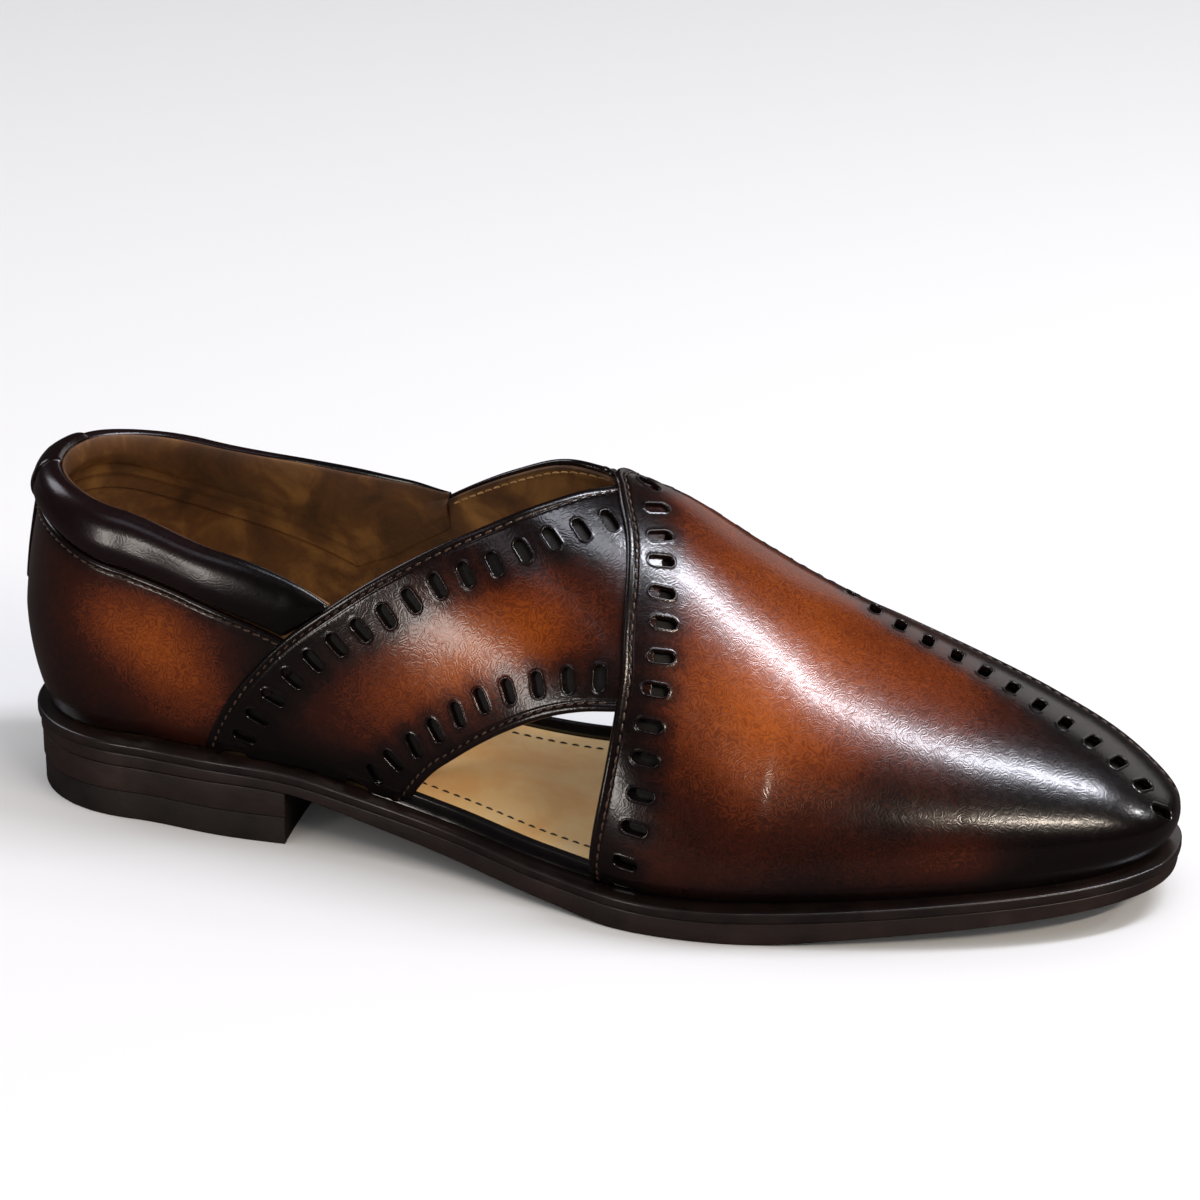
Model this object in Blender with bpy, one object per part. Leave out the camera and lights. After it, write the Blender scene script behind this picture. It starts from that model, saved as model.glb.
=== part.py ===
# Peshawari chappal, the right shoe of a pair, standing on its sole.
# Lengths are in millimetres and become metres when a mesh is made.
# +X runs from heel to toe, +Y to the inner (medial) side, +Z up; the floor is z = 0.
import math

import bpy
import numpy as np
from mathutils import Vector
from mathutils.geometry import delaunay_2d_cdt

MM = 0.001
GAP = 0.3  # clearance between pieces that touch

# ---- sole plan: a heel fan, a middle and a toe fan ----
LENGTH = 300.0
HEEL_CENTRE = 35.0
TOE_CENTRE = 205.0
BREADTH = dict(
    x=[35, 60, 90, 120, 150, 175, 190, 205],
    lateral=[32.0, 34.7, 35.0, 39.3, 48.9, 55.6, 56.0, 53.8],
    medial=[32.0, 32.8, 29.5, 27.0, 31.0, 39.5, 44.0, 46.8],
)
HEEL_POWER = 2.15
TOE_POWERS = dict(lateral=(1.08, 2.34), medial=(1.6, 2.25))
SIGN = dict(lateral=-1.0, medial=1.0)

# ---- sole heights, with the arch, the tread and the toe spring ----
SOLE_TOP = dict(
    x=[-5, 40, 78, 100, 125, 150, 175, 205, 230, 255, 280, 305],
    z=[22.3, 21.5, 20.6, 16.8, 13.2, 10.2, 8.8, 9.0, 10.4, 12.2, 13.9, 16.0],
)
SOLE_BOTTOM = dict(
    x=[-5, 40, 80, 100, 125, 150, 168, 205, 230, 255, 280, 305],
    z=[15.3, 14.8, 14.2, 9.7, 5.2, 2.0, 0.0, 0.0, 2.4, 4.7, 7.1, 10.0],
)
MIDSOLE_THICKNESS = 2.8
OUTSOLE_INSET = 0.7
INSOLE_THICKNESS = 2.7
INSOLE_CLEARANCE = 3.3  # from the upper's foot to the insole's edge
BREAST_X = 79.0
BREAST_HOLLOW = 1.5
TOP_LIFT_HEIGHT = 7.6
LIFT_INSETS = dict(heel_top_lift=1.3, heel_lift=1.0)
PLATE_STEP = 6.0

# ---- the last: ridge, fullest line and foot line of each section ----
RIDGE = dict(
    x=[35, 70, 105, 140, 170, 190, 205, 225, 245, 265, 285, 300],
    z=[127, 118.5, 109, 100, 89, 76.5, 68, 61, 56, 51.8, 46.5, 38],
)
RIDGE_Y = dict(x=[35, 70, 105, 140, 170, 205], y=[0, 0, 0, 3, 8, 12])
FULLEST = dict(
    x=[0, 35, 80, 120, 160, 205, 250, 280, 305],
    above_sole=[27, 24, 21, 16, 11.5, 9.5, 10, 9, 7],
)
ROUNDNESS = dict(x=[0, 35, 80, 120, 160, 205, 250, 305], power=[1.4, 2.2, 2.1, 1.8, 1.6, 1.6, 1.9, 2.2])
FULLEST_INSET = dict(
    s=[0, 35, 205, 252, 300],
    lateral=[-3.2, -0.4, 0.8, 2.4, 1.3],
    medial=[-3.2, -0.4, 2.5, 2.4, 1.3],
)
FOOT_INSET = dict(
    s=[0, 35, 120, 165, 205, 252, 300],
    lateral=[1.5, 4.0, 3.4, 5.6, 7.0, 6.5, 6.0],
    medial=[1.5, 4.0, 4.5, 5.8, 7.0, 6.5, 6.0],
)

# ---- the upper's layers, measured in from the outside of the vamp panel ----
PANEL, STRAP, BASE, INSIDE = 0.0, -0.4, -1.2, -3.0

# ---- edges on the last: s is the station along the shoe, z the height above the floor ----
COLLAR_SEAM = dict(s=[0, 18, 32, 52, 78, 92], z=[78.5, 76.8, 70.6, 65.3, 57, 50])
STRAP_TOP = dict(
    lateral=dict(s=[53, 56, 62, 73, 92, 108, 125, 141, 148, 157], z=[16, 24, 36, 51, 68, 79, 88, 94, 95.2, 94.7]),
    medial=dict(s=[53, 56, 62, 73, 92, 108, 125, 141, 153], z=[16, 24, 36, 51, 68, 80, 90, 96.5, 96.2]),
)
STRAP_LOW = dict(s=[109, 113, 119, 124, 132, 141, 150, 158, 168], z=[13, 20, 28, 32.5, 39, 45, 49.5, 52, 53.5])
THROAT = dict(
    lateral=dict(
        z=[8, 15, 24, 40, 54, 61, 67, 74, 80, 88, 92, 95, 97],
        s=[162.5, 163, 164, 166, 167, 167, 166, 165, 164, 161, 158, 155, 152],
    ),
    medial=dict(z=[8, 25, 40, 55, 64, 75, 88, 93, 97], s=[160, 160, 160.5, 161.5, 161.5, 160.5, 158, 155.5, 152]),
)
PANEL_INNER = dict(
    s=[160, 175, 191, 205, 220, 235, 250, 262, 271, 278, 284, 289, 292.5, 295],
    z=[57.5, 58, 58.5, 59, 58, 55.5, 51.5, 47, 42, 36.5, 30.5, 24, 18.5, 15],
)  # medial; its last point is on the foot line
RAND_HEIGHT = 4.2
RAND_ENDS = (107, 171)

CHART_SPREAD = 1.6  # how far the chart spreads a section, for its half breadth
CHART_TUCK = 0.25  # the tucked part is this much shorter than the part above the fullest line
ROWS = (-0.67, -0.33, 0, 0.12, 0.25, 0.37, 0.49, 0.61, 0.74, 0.87, 1)
STATION_STEP = 7.5
EDGE_STEP = 3.5
CLEAR_OF_EDGES = 2.5

# ---- the padded collar ----
ROLL_TOP = dict(
    lateral=dict(s=[0, 12, 21, 35, 51, 73, 86], z=[89.5, 89.2, 88, 84.5, 80, 74.8, 68.5]),
    medial=dict(s=[0, 12, 21, 35, 52, 68, 84, 100], z=[89.5, 88.8, 87.2, 84.5, 82.5, 82, 81.6, 80.2]),
)
ROLL_THICKNESS = dict(
    lateral=dict(s=[0, 20, 60, 78, 86], t=[9.0, 8.5, 7.0, 5.0, 3.4]),
    medial=dict(s=[0, 20, 60, 88, 100], t=[9.0, 8.5, 7.0, 5.0, 3.4]),
)
ROLL_POINTS = 14
ROLL_SEAT = 0.6
ROLL_PROUD = 0.6

COLOURS = {
    "outsole": ((0.035, 0.02, 0.014), 0.45),
    "midsole": ((0.03, 0.017, 0.012), 0.4),
    "heel_lift": ((0.035, 0.02, 0.014), 0.45),
    "heel_top_lift": ((0.012, 0.011, 0.011), 0.6),
    "insole": ((0.62, 0.4, 0.2), 0.55),
    "upper": ((0.24, 0.075, 0.025), 0.28),
    "collar_roll": ((0.045, 0.012, 0.01), 0.25),
}


def smooth(x, xs, ys, start=None, end=None):
    """Cubic through a short table; inner slopes are weighted means of the slopes beside them."""
    xs, ys, x = (np.asarray(values, float) for values in (xs, ys, x))
    step = np.diff(xs)
    rise = np.diff(ys) / step
    slope = np.empty(len(xs))
    slope[1:-1] = (rise[:-1] * step[1:] + rise[1:] * step[:-1]) / (step[1:] + step[:-1])
    slope[0] = rise[0] if start is None else start
    slope[-1] = rise[-1] if end is None else end
    x = np.clip(x, xs[0], xs[-1])
    k = np.clip(np.searchsorted(xs, x, side="right") - 1, 0, len(step) - 1)
    t = (x - xs[k]) / step[k]
    near = (2 * t**3 - 3 * t**2 + 1) * ys[k] + (t**3 - 2 * t**2 + t) * step[k] * slope[k]
    far = (3 * t**2 - 2 * t**3) * ys[k + 1] + (t**3 - t**2) * step[k] * slope[k + 1]
    return near + far


def sole_top(x):
    return smooth(x, SOLE_TOP["x"], SOLE_TOP["z"])


def sole_bottom(x):
    return np.maximum(smooth(x, SOLE_BOTTOM["x"], SOLE_BOTTOM["z"]), 0.0)


def middle_breadth(x, side):
    table = BREADTH[side]
    toe_x, toe_y = TOE_POWERS[side]
    pointed = toe_x < 1.2  # a nearly straight toe side starts at its own slope
    end = -table[-1] / ((LENGTH - TOE_CENTRE) * toe_y) if pointed else 0.0
    return smooth(x, BREADTH["x"], table, 0.0, end)


def breadth(x, side, inset):
    """Half breadth of the plan at x: superellipses round the heel and toe centres."""
    x = np.asarray(x, float)
    toe_x, toe_y = TOE_POWERS[side]
    back = np.clip((HEEL_CENTRE - x) / (HEEL_CENTRE - inset), 0, 1)
    front = np.clip((x - TOE_CENTRE) / (LENGTH - inset - TOE_CENTRE), 0, 1)
    y = middle_breadth(x, side) - inset
    return y * (1 - back**HEEL_POWER) ** (1 / HEEL_POWER) * (1 - front**toe_x) ** (1 / toe_y)


def plan_point(s, side, inset):
    """The plan's edge at station s, and the centre that its section turns about."""
    s = np.asarray(s, float)
    toe_x, toe_y = TOE_POWERS[side]
    heel = np.clip(s / HEEL_CENTRE, 0, 1) * math.pi / 2
    toe = np.clip((s - TOE_CENTRE) / (LENGTH - TOE_CENTRE), 0, 1) * math.pi / 2
    middle = np.clip(s, HEEL_CENTRE, TOE_CENTRE)
    x = middle - (HEEL_CENTRE - inset) * np.cos(heel) ** (2 / HEEL_POWER)
    x = x + (LENGTH - inset - TOE_CENTRE) * np.sin(toe) ** (2 / toe_x)
    y = (middle_breadth(middle, side) - inset) * np.sin(heel) ** (2 / HEEL_POWER)
    y = y * np.maximum(np.cos(toe), 0) ** (2 / toe_y)
    centre_y = smooth(middle, RIDGE_Y["x"], RIDGE_Y["y"])
    return np.stack([x, SIGN[side] * y], -1), np.stack([middle, centre_y], -1)


def last_point(s, side, v):
    """The last's surface: a superellipse from the fullest line to the ridge, tucked in below."""
    s, v = np.broadcast_arrays(np.asarray(s, float), np.asarray(v, float))
    full, centre = plan_point(s, side, np.interp(s, FULLEST_INSET["s"], FULLEST_INSET[side]))
    foot, _ = plan_point(s, side, np.interp(s, FOOT_INSET["s"], FOOT_INSET[side]))
    foot_z = sole_top(foot[..., 0]) + GAP
    full_z = sole_top(full[..., 0]) + smooth(full[..., 0], FULLEST["x"], FULLEST["above_sole"])
    turn = np.clip(v, 0, 1) * math.pi / 2
    above = centre + (full - centre) * np.cos(turn)[..., None]
    power = smooth(above[..., 0], ROUNDNESS["x"], ROUNDNESS["power"])
    ridge = smooth(above[..., 0], RIDGE["x"], RIDGE["z"])
    above_z = full_z + (ridge - full_z) * np.maximum(np.sin(turn), 1e-9) ** (2 / power)
    tuck = np.clip(-v, 0, 1)
    below = full + (foot - full) * (tuck**2)[..., None]
    below_z = full_z + (foot_z - full_z) * tuck
    low = v < 0
    plan = np.where(low[..., None], below, above)
    return np.concatenate([plan, np.where(low, below_z, above_z)[..., None]], -1)


def last_normal(s, side, v):
    """Outward unit normal, from small steps along and round the last."""
    step_s, step_v = 0.4, 0.01
    s, v = np.broadcast_arrays(np.asarray(s, float), np.asarray(v, float))
    at_pole = (v > 0.999) & ((s > TOE_CENTRE) | (s < HEEL_CENTRE))
    s = np.where(at_pole, np.clip(s, HEEL_CENTRE + step_s, TOE_CENTRE - step_s), s)
    ahead, behind = np.clip(s + step_s, 0, LENGTH), np.clip(s - step_s, 0, LENGTH)
    along = last_point(ahead, side, v) - last_point(behind, side, v)
    up, down = np.clip(v + step_v, -1, 1), np.clip(v - step_v, -1, 1)
    across = last_point(s, side, up) - last_point(s, side, down)
    normal = np.cross(along, across) * -SIGN[side]
    on_seam = (s < 0.01) | (s > LENGTH - 0.01)
    normal[..., 1] = np.where(on_seam, 0.0, normal[..., 1])
    return normal / np.linalg.norm(normal, axis=-1, keepdims=True)


def chart_point(s, side, v):
    """The last laid out flat: sections spread from the ridge line and the two fan centres."""
    edge, centre = plan_point(s, side, 0.0)
    v = np.asarray(v, float)
    away = 1 - np.where(v < 0, v * CHART_TUCK, v)
    return centre + (edge - centre) * (CHART_SPREAD * away)[..., None]


def chart_inverse(point):
    """Station, side and v of a chart point between the two fans."""
    s = float(np.clip(point[0], HEEL_CENTRE, TOE_CENTRE))
    off = point[1] - float(smooth(s, RIDGE_Y["x"], RIDGE_Y["y"]))
    side = "lateral" if off < 0 else "medial"
    edge, centre = plan_point(s, side, 0.0)
    v = 1 - abs(off) / (CHART_SPREAD * abs(float(edge[1] - centre[1])))
    return s, side, v / CHART_TUCK if v < 0 else v


def place_at_height(s, side, z):
    """v where the last's section at s reaches the height z, found by halving; under -1 below the foot."""
    s, z = np.broadcast_arrays(np.asarray(s, float), np.asarray(z, float))
    low, high = np.full(s.shape, -1.0), np.full(s.shape, 1.0)
    for _ in range(24):
        middle = (low + high) / 2
        under = last_point(s, side, middle)[..., 2] < z
        low, high = np.where(under, middle, low), np.where(under, high, middle)
    below = last_point(s, side, -1.0)[..., 2] - z
    return np.where(below > 0, -1 - 0.03 * below, (low + high) / 2)


# ---- the upper ----
def steps(first, last, step):
    return np.linspace(first, last, max(2, round(abs(last - first) / step) + 1))


def line_at_heights(table, side):
    """Stations and v of an edge given by its heights."""
    s = steps(table["s"][0], table["s"][-1], EDGE_STEP)
    return s, place_at_height(s, side, smooth(s, table["s"], table["z"]))


def throat_line(side):
    z = steps(THROAT[side]["z"][0], THROAT[side]["z"][-1], EDGE_STEP)
    s = smooth(z, THROAT[side]["z"], THROAT[side]["s"])
    v = place_at_height(s, side, z)
    v[-1] = 1.0
    return s, v


def rand_line(side):
    s = steps(*RAND_ENDS, EDGE_STEP)
    return s, place_at_height(s, side, last_point(s, side, -1.0)[:, 2] + RAND_HEIGHT)


def panel_line():
    """The panel's inner edge, with three points to each row of its table."""
    rows = np.arange(len(PANEL_INNER["s"]))
    t = np.linspace(0, rows[-1], 3 * rows[-1] + 1)
    s = smooth(t, rows, PANEL_INNER["s"])
    v = place_at_height(s, "medial", smooth(t, rows, PANEL_INNER["z"]))
    v[-1] = -1.0
    return s, v


def edge_lines(side):
    """The upper's edge lines on one side, each as stations and v."""
    lines = dict(
        foot=(steps(0, LENGTH, 5.0), np.full(round(LENGTH / 5) + 1, -1.0)),
        seam=line_at_heights(COLLAR_SEAM, side),
        strap_top=line_at_heights(STRAP_TOP[side], side),
        strap_low=line_at_heights(STRAP_LOW, side),
        throat=throat_line(side),
        rand=rand_line(side),
    )
    if side == "medial":
        lines["panel"] = panel_line()
    return lines


def v_on(line, s):
    """v of an edge line at a station, far below the foot where the line hasn't begun."""
    return -2.0 if s < line[0][0] else float(np.interp(s, *line))


def layer_at(lines, s, side, v):
    """Which layer is outermost at a place on the last, or None where the upper is open."""
    line = lines[side]
    if v < -0.999:
        return None
    if s > np.interp(v, line["throat"][1], line["throat"][0]):
        return BASE if side == "medial" and v < v_on(line["panel"], s) else PANEL
    if v > max(v_on(line["strap_top"], s), v_on(line["seam"], s)):
        return None
    if v > v_on(line["strap_top"], s):
        return BASE
    if v > v_on(line["strap_low"], s):
        return STRAP
    return BASE if v < v_on(line["rand"], s) else None


def flat_distance(points, starts, ends):
    """Distance of each point from the nearest of the segments."""
    run = ends - starts
    along = ((points[:, None] - starts) * run).sum(-1) / np.maximum((run**2).sum(-1), 1e-9)
    nearest = starts + run * np.clip(along, 0, 1)[..., None]
    return np.linalg.norm(points[:, None] - nearest, axis=-1).min(axis=1)


def upper_chart(lines):
    """Triangles of the chart, the place of each of its points, and each triangle's layer."""
    places, flat, edges = [], [], []
    for side in SIGN:
        for s, v in lines[side].values():
            first = len(places)
            places += [(float(a), side, float(b)) for a, b in zip(s, v)]
            flat += list(chart_point(s, side, v))
            edges += [(i, i + 1) for i in range(first, len(places) - 1)]
    on_edges = np.array(flat)
    starts, ends = on_edges[[a for a, _ in edges]], on_edges[[b for _, b in edges]]
    for side in SIGN:
        for s in steps(0, LENGTH, STATION_STEP):
            for v in ROWS:
                shared = side == "medial" and (s in (0, LENGTH) or v == 1)
                pole = v == 1 and not HEEL_CENTRE <= s <= TOE_CENTRE
                if shared or pole or layer_at(lines, s, side, v) is None:
                    continue
                point = chart_point(s, side, v)
                if flat_distance(point[None], starts, ends)[0] > CLEAR_OF_EDGES:
                    places.append((s, side, v))
                    flat.append(point)
    found = delaunay_2d_cdt([Vector(point) for point in flat], edges, [], 0, 1e-4)
    points, found_edges, triangles, from_points, from_edges = found[:5]
    places = [places[source[0]] if source else chart_inverse(point)
              for point, source in zip(points, from_points)]
    fixed = {tuple(sorted(edge)) for edge, source in zip(found_edges, from_edges) if source}
    return places, triangles, layers_of(lines, places, triangles, fixed)


def sides_of(triangle):
    return zip(triangle, triangle[1:] + triangle[:1])


def layers_of(lines, places, triangles, fixed):
    """Each patch of triangles between edge lines takes the layer that most of it lies in."""
    beside = {}
    for i, triangle in enumerate(triangles):
        for a, b in sides_of(triangle):
            beside.setdefault(tuple(sorted((a, b))), []).append(i)
    patch = [None] * len(triangles)
    votes = []
    for seed in range(len(triangles)):
        if patch[seed] is not None:
            continue
        patch[seed] = len(votes)
        votes.append([])
        waiting = [seed]
        while waiting:
            triangle = triangles[waiting.pop()]
            votes[-1].append(layer_at(lines, *middle_of([places[p] for p in triangle])))
            open_edges = {tuple(sorted(edge)) for edge in sides_of(triangle)} - fixed
            for neighbour in (i for edge in open_edges for i in beside[edge]):
                if patch[neighbour] is None:
                    patch[neighbour] = patch[seed]
                    waiting.append(neighbour)
    chosen = [max(set(layers), key=layers.count) for layers in votes]
    return [chosen[k] for k in patch]


def middle_of(corners):
    """Mean station, side and v of a triangle; corners on a seam between sides belong to both."""
    own = [side for s, side, v in corners if 0 < s < LENGTH and v < 1]
    side = max(set(own), key=own.count) if own else corners[0][1]
    across = [(1 - v) if other == side or s in (0, LENGTH) else v - 1 for s, other, v in corners]
    s = sum(corner[0] for corner in corners) / 3
    return s, side, 1 - abs(sum(across) / 3)


def make_upper(lines):
    """One closed wall: layered outside, smooth inside, with a wall face along every step and rim."""
    places, triangles, layers = upper_chart(lines)
    index, points, faces = {}, [], []

    def corner(place, level):
        if (place, level) not in index:
            index[place, level] = len(points)
            points.append(last_point(*places[place]) + last_normal(*places[place]) * level)
        return index[place, level]

    levels_at = {}
    beside = {}
    for triangle, layer in zip(triangles, layers):
        if layer is None:
            continue
        faces.append([corner(p, layer) for p in triangle])
        faces.append([corner(p, INSIDE) for p in reversed(triangle)])
        for a, b in sides_of(triangle):
            beside[a, b] = layer
            levels_at.setdefault(a, {INSIDE}).add(layer)
    for (a, b), layer in beside.items():
        other = beside.get((b, a), INSIDE)
        if other >= layer:
            continue
        columns = []
        for place in (a, b):
            kept = sorted(level for level in levels_at[place] if other <= level <= layer)
            columns.append([corner(place, level) for level in reversed(kept)])
        left, right = columns
        i = j = 0
        while i < len(left) - 1 or j < len(right) - 1:
            if j == len(right) - 1 or (i < len(left) - 1 and i <= j):
                faces.append([left[i], left[i + 1], right[j]])
                i += 1
            else:
                faces.append([left[i], right[j + 1], right[j]])
                j += 1
    return new_object("upper", points, faces)


# ---- the collar roll ----
def make_collar_roll(lines):
    """A padded band above the collar seam; its ends narrow where they meet the straps."""
    turn = np.arange(ROLL_POINTS) * 2 * math.pi / ROLL_POINTS
    up = (1 - np.cos(turn)) / 2
    half_way = np.sin(turn)
    stations = [(s, "medial") for s in steps(ROLL_TOP["medial"]["s"][-1], 0, 4.0)[:-1]]
    stations += [(s, "lateral") for s in steps(0, ROLL_TOP["lateral"]["s"][-1], 4.0)]
    rings = []
    for s, side in stations:
        seat = max(v_on(lines[side][name], s) for name in ("seam", "strap_top"))
        low = float(last_point(s, side, seat)[2]) + ROLL_SEAT
        high = float(smooth(s, ROLL_TOP[side]["s"], ROLL_TOP[side]["z"]))
        v = place_at_height(np.full(ROLL_POINTS, s), side, low + (high - low) * up)
        thick = float(smooth(s, ROLL_THICKNESS[side]["s"], ROLL_THICKNESS[side]["t"]))
        foot, crown = (BASE + INSIDE) / 2, ROLL_PROUD - thick / 2
        depth = foot + (crown - foot) * np.minimum(up * 2, 1) + thick / 2 * half_way
        where = np.full(ROLL_POINTS, s)
        rings.append(last_point(where, side, v) + last_normal(where, side, v) * depth[:, None])
    faces = []
    for ring in range(len(rings) - 1):
        for k in range(ROLL_POINTS):
            a, b = ring * ROLL_POINTS + k, ring * ROLL_POINTS + (k + 1) % ROLL_POINTS
            faces.append([a, a + ROLL_POINTS, b + ROLL_POINTS, b])
    faces.append(list(range(ROLL_POINTS)))
    faces.append([(len(rings) - 1) * ROLL_POINTS + k for k in reversed(range(ROLL_POINTS))])
    return new_object("collar_roll", np.concatenate(rings), faces)


# ---- the sole's plates ----
def plate_stations(first, last, both_ends_round=True):
    """Stations along a plate, closer together where its ends turn."""
    middle = steps(first + 20, last - (25 if both_ends_round else 0), PLATE_STEP)
    bend = 1 - np.cos(np.linspace(0, math.pi / 2, 8))
    back = first + 20 * bend[:-1]
    front = last - 25 * bend[::-1][1:] if both_ends_round else []
    return np.concatenate([back, middle, front])


def make_plate(name, stations, inset, top, bottom, breast=None):
    """A plate between two heights that depend on x alone. inset(x, side) is from the sole's edge."""
    rows = []
    for k, x in enumerate(stations):
        pointed = k == 0 or (k == len(stations) - 1 and breast is None)
        if pointed:
            rows.append([(x, 0.0)])
        else:
            sides = [SIGN[side] * float(breadth(x, side, inset(x, side))) for side in SIGN]
            rows.append([(x, sides[0]), (x, sides[1])])
    if breast is not None:
        low, high = rows[-1][0][1], rows[-1][1][1]
        across = np.linspace(-1, 1, 11)[1:-1]
        hollow = [(stations[-1] - breast * (1 - t * t), (low + high) / 2 + (high - low) / 2 * t) for t in across]
        outline = [row[0] for row in rows] + hollow + [row[-1] for row in rows[:0:-1]]
        strips = [list(range(len(rows) - 2, len(rows) + len(hollow) + 2))]
        count = len(outline)
        ladder = [[k, k + 1, count - k - 1, (count - k) % count] for k in range(len(rows) - 2)]
        strips += [[a, b, c] if d == a else [a, b, c, d] for a, b, c, d in ladder]
    else:
        outline = [row[0] for row in rows] + [row[1] for row in rows[-2:0:-1]]
        count = len(outline)
        ladder = [[k, k + 1, (count - k - 1) % count, (count - k) % count] for k in range(len(rows) - 1)]
        strips = [list(dict.fromkeys(face)) for face in ladder]
    plan = np.array(outline)
    upper = np.column_stack([plan, [float(top(x)) for x in plan[:, 0]]])
    lower = np.column_stack([plan, [float(bottom(x)) for x in plan[:, 0]]])
    faces = [list(face) for face in strips]
    faces += [[k + count for k in reversed(face)] for face in strips]
    faces += [[k, k + count, (k + 1) % count + count, (k + 1) % count] for k in range(count)]
    return new_object(name, np.vstack([upper, lower]), faces)


def make_sole():
    whole = plate_stations(0, LENGTH)
    make_plate("midsole", whole, lambda x, side: 0.0, sole_top, lambda x: sole_top(x) - MIDSOLE_THICKNESS)
    stations = plate_stations(OUTSOLE_INSET, LENGTH - OUTSOLE_INSET)
    outsole_top = MIDSOLE_THICKNESS + GAP
    make_plate("outsole", stations, lambda x, side: OUTSOLE_INSET, lambda x: sole_top(x) - outsole_top, sole_bottom)


def insole_inset(x, side):
    return float(np.interp(x, FOOT_INSET["s"], FOOT_INSET[side])) + INSOLE_CLEARANCE


def make_insole():
    back, front = insole_inset(0, "lateral"), insole_inset(LENGTH, "lateral")
    stations = plate_stations(back, LENGTH - front)
    seat = lambda x: sole_top(x) + GAP
    make_plate("insole", stations, insole_inset, lambda x: seat(x) + INSOLE_THICKNESS, seat)


def make_heel():
    heights = dict(
        heel_top_lift=(lambda x: TOP_LIFT_HEIGHT, lambda x: 0.0),
        heel_lift=(lambda x: sole_bottom(x) - GAP, lambda x: TOP_LIFT_HEIGHT + GAP),
    )
    for name, (top, bottom) in heights.items():
        inset = LIFT_INSETS[name]
        stations = plate_stations(inset, BREAST_X, both_ends_round=False)
        make_plate(name, stations, lambda x, side, inset=inset: inset, top, bottom, BREAST_HOLLOW)


# ---- objects ----
def new_object(name, points, faces):
    mesh = bpy.data.meshes.new(name)
    mesh.from_pydata((np.asarray(points) * MM).tolist(), [], [[int(k) for k in face] for face in faces])
    mesh.update()
    mesh.shade_smooth()
    mesh.set_sharp_from_angle(angle=math.radians(35))
    colour, roughness = COLOURS[name]
    material = bpy.data.materials.new(name)
    material.use_nodes = True
    shader = material.node_tree.nodes["Principled BSDF"]
    shader.inputs["Base Color"].default_value = (*colour, 1.0)
    shader.inputs["Roughness"].default_value = roughness
    shader.inputs["Metallic"].default_value = 0.0
    mesh.materials.append(material)
    made = bpy.data.objects.new(name, mesh)
    bpy.context.collection.objects.link(made)
    return made


def centre_on_floor():
    """Parents every piece to an empty that puts the middle of the shoe's box over the origin."""
    pieces = [thing for thing in bpy.data.objects if thing.type == "MESH"]
    corners = np.array([vertex.co for piece in pieces for vertex in piece.data.vertices])
    middle = (corners.min(axis=0) + corners.max(axis=0)) / 2
    shoe = bpy.data.objects.new("shoe", None)
    bpy.context.collection.objects.link(shoe)
    shoe.location = (-middle[0], -middle[1], 0.0)
    for piece in pieces:
        piece.parent = shoe


def main():
    for thing in list(bpy.data.objects):
        bpy.data.objects.remove(thing, do_unlink=True)
    make_sole()
    make_heel()
    make_insole()
    lines = {side: edge_lines(side) for side in SIGN}
    make_upper(lines)
    make_collar_roll(lines)
    centre_on_floor()


main()
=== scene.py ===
import math

import bpy
import numpy as np
from mathutils import Matrix, Vector


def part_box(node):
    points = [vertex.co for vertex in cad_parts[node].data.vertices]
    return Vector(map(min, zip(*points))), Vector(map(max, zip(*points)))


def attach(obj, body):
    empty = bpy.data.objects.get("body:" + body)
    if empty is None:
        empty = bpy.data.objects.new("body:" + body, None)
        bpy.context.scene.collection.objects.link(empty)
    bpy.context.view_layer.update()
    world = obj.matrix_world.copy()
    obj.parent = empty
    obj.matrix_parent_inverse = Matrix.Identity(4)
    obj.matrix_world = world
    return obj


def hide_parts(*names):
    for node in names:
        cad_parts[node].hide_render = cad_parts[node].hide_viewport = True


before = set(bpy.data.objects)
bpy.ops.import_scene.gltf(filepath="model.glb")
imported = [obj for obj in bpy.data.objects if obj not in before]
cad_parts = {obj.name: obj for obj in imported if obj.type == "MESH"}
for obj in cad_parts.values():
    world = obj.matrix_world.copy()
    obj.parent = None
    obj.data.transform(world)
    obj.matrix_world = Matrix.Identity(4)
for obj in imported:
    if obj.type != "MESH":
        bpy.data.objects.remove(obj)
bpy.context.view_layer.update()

# Peshawari chappal, right shoe. Shapes are worked out in millimetres on the shoemaker's last:
# x from heel to toe, y to the inner side, z up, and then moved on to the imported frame. A table is
# a list of stations along the shoe and its values there, the outer side's before the inner side's.
lateral, medial = -1.0, 1.0
sides = (lateral, medial)

plan = {  # the sole's edge: half widths, and the powers of the curves that close its two ends
    "length": 300.0, "heelCentre": 35.0, "toeCentre": 205.0, "heelPower": 2.15,
    "half": ([35, 60, 90, 120, 150, 175, 190, 205], [32.0, 34.7, 35.0, 39.3, 48.9, 55.6, 56.0, 53.8],
             [32.0, 32.8, 29.5, 27.0, 31.0, 39.5, 44.0, 46.8]),
    "toeX": (1.08, 1.6), "toeY": (2.34, 2.25),
    "ridge": ([35, 70, 105, 140, 170, 205], [0, 0, 0, 3, 8, 12]),
}
soleHeights = {
    "top": ([-5, 40, 78, 100, 125, 150, 175, 205, 230, 255, 280, 305],
            [22.3, 21.5, 20.6, 16.8, 13.2, 10.2, 8.8, 9.0, 10.4, 12.2, 13.9, 16.0]),
    "bottom": ([-5, 40, 80, 100, 125, 150, 168, 205, 230, 255, 280, 305],
               [15.3, 14.8, 14.2, 9.7, 5.2, 2.0, 0.0, 0.0, 2.4, 4.7, 7.1, 10.0]),
}
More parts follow.
